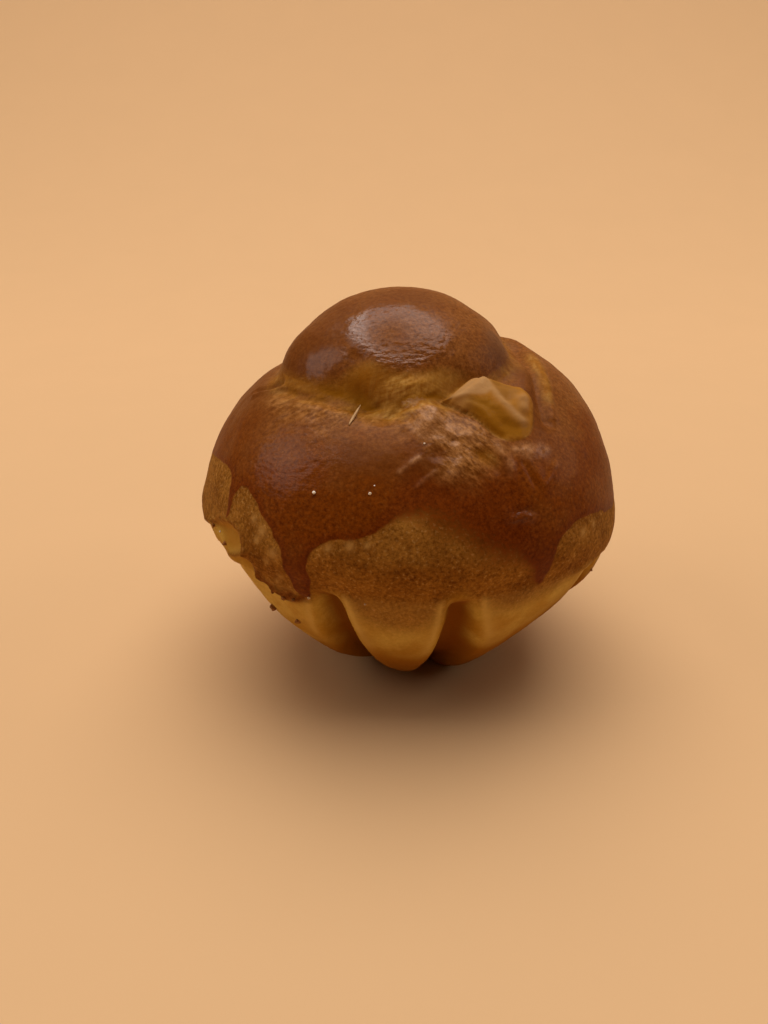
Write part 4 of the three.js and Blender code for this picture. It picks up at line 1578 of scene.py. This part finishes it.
def make_floor():
    """A sheet that lies flat under the bun and curves up behind it."""
    profile = [(-FLOOR_REACH, 0)]
    for turn in np.radians(np.linspace(0, 90, FLOOR_BEND_POINTS)):
        profile.append((FLOOR_BACK + FLOOR_BEND * math.sin(turn), FLOOR_BEND - FLOOR_BEND * math.cos(turn)))
    profile.append((FLOOR_BACK + FLOOR_BEND, FLOOR_REACH))
    points = [(side, y, z) for y, z in profile for side in (-FLOOR_REACH, FLOOR_REACH)]
    faces = [(2 * i, 2 * i + 1, 2 * i + 3, 2 * i + 2) for i in range(len(profile) - 1)]
    floor = mesh_object("floor", points, faces, floor_material())


def add_area_light(name, place, size, power, colour):
    light = bpy.data.lights.new(name, "AREA")
    light.size = size * MM
    light.energy = power
    light.color = colour
    lamp = bpy.data.objects.new(name, light)
    lamp.location = Vector(place) * MM
    aim = Vector(CORE) * MM - lamp.location
    lamp.rotation_euler = aim.to_track_quat("-Z", "Y").to_euler()
    bpy.context.scene.collection.objects.link(lamp)


def make_light():
    for light in LIGHTS:
        add_area_light(*light)
    world = bpy.data.worlds.new("Room")
    world.use_nodes = True
    background = world.node_tree.nodes["Background"]
    background.inputs["Color"].default_value = ROOM_GLOW
    background.inputs["Strength"].default_value = ROOM_GLOW_STRENGTH
    bpy.context.scene.world = world
    bpy.context.scene.view_settings.view_transform = "Standard"


def make_camera():
    """Looks down at the photograph's angle, with the core on the photograph's pixel."""
    pitch = math.radians(CAMERA_PITCH)
    ahead = np.array([0, math.cos(pitch), -math.sin(pitch)])
    right = np.array([1.0, 0, 0])
    up = np.cross(right, ahead)
    across = (CORE_PIXEL[0] - PHOTO_SIZE[0] / 2) / PHOTO_FOCAL
    down = (CORE_PIXEL[1] - PHOTO_SIZE[1] / 2) / PHOTO_FOCAL
    ray = ahead + across * right - down * up
    place = CORE - CAMERA_DISTANCE * ray / np.linalg.norm(ray)

    lens = bpy.data.cameras.new("camera")
    lens.sensor_width = SENSOR
    lens.lens = PHOTO_FOCAL / max(PHOTO_SIZE) * SENSOR
    lens.clip_start = NEAREST_SEEN * MM
    camera = bpy.data.objects.new("camera", lens)
    camera.location = Vector(place) * MM
    camera.rotation_euler = (math.pi / 2 - pitch, 0, 0)
    bpy.context.scene.collection.objects.link(camera)
    bpy.context.scene.camera = camera


make_camera()
make_floor()
make_light()

grain_group = baked_grain_group()
crust = make_crust(crust_material(grain_group))
bpy.context.view_layer.update()

draw = np.random.default_rng(BITS_SEED)
crumb_places = CRUMBS + places_behind(draw, CRUMBS_BEHIND, CRUMB_RADII_BEHIND)
grain_places = GRAINS + places_behind(draw, GRAINS_BEHIND, GRAIN_RADII_BEHIND)
crumb_finish = bit_material(grain_group, "Toasted crumb", CRUMB_DARK, CRUMB_BROWN, BIT_ROUGHNESS["crumb"])
grain_finish = bit_material(grain_group, "Pale grain", GRAIN_CREAM, GRAIN_WHITE, BIT_ROUGHNESS["grain"])
flake_finish = bit_material(grain_group, "Dry flake", FLAKE_TAN, FLAKE_PALE, BIT_ROUGHNESS["flake"])
crumbs = make_bits("crumbs", crust, crumb_places, CRUMB_UNEVEN, draw, crumb_finish)
grains = make_bits("grains", crust, grain_places, GRAIN_UNEVEN, draw, grain_finish)
flake = make_flake(crust, flake_finish)

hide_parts("brioche")
for piece in (crust, crumbs, grains, flake):
    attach(piece, "root")
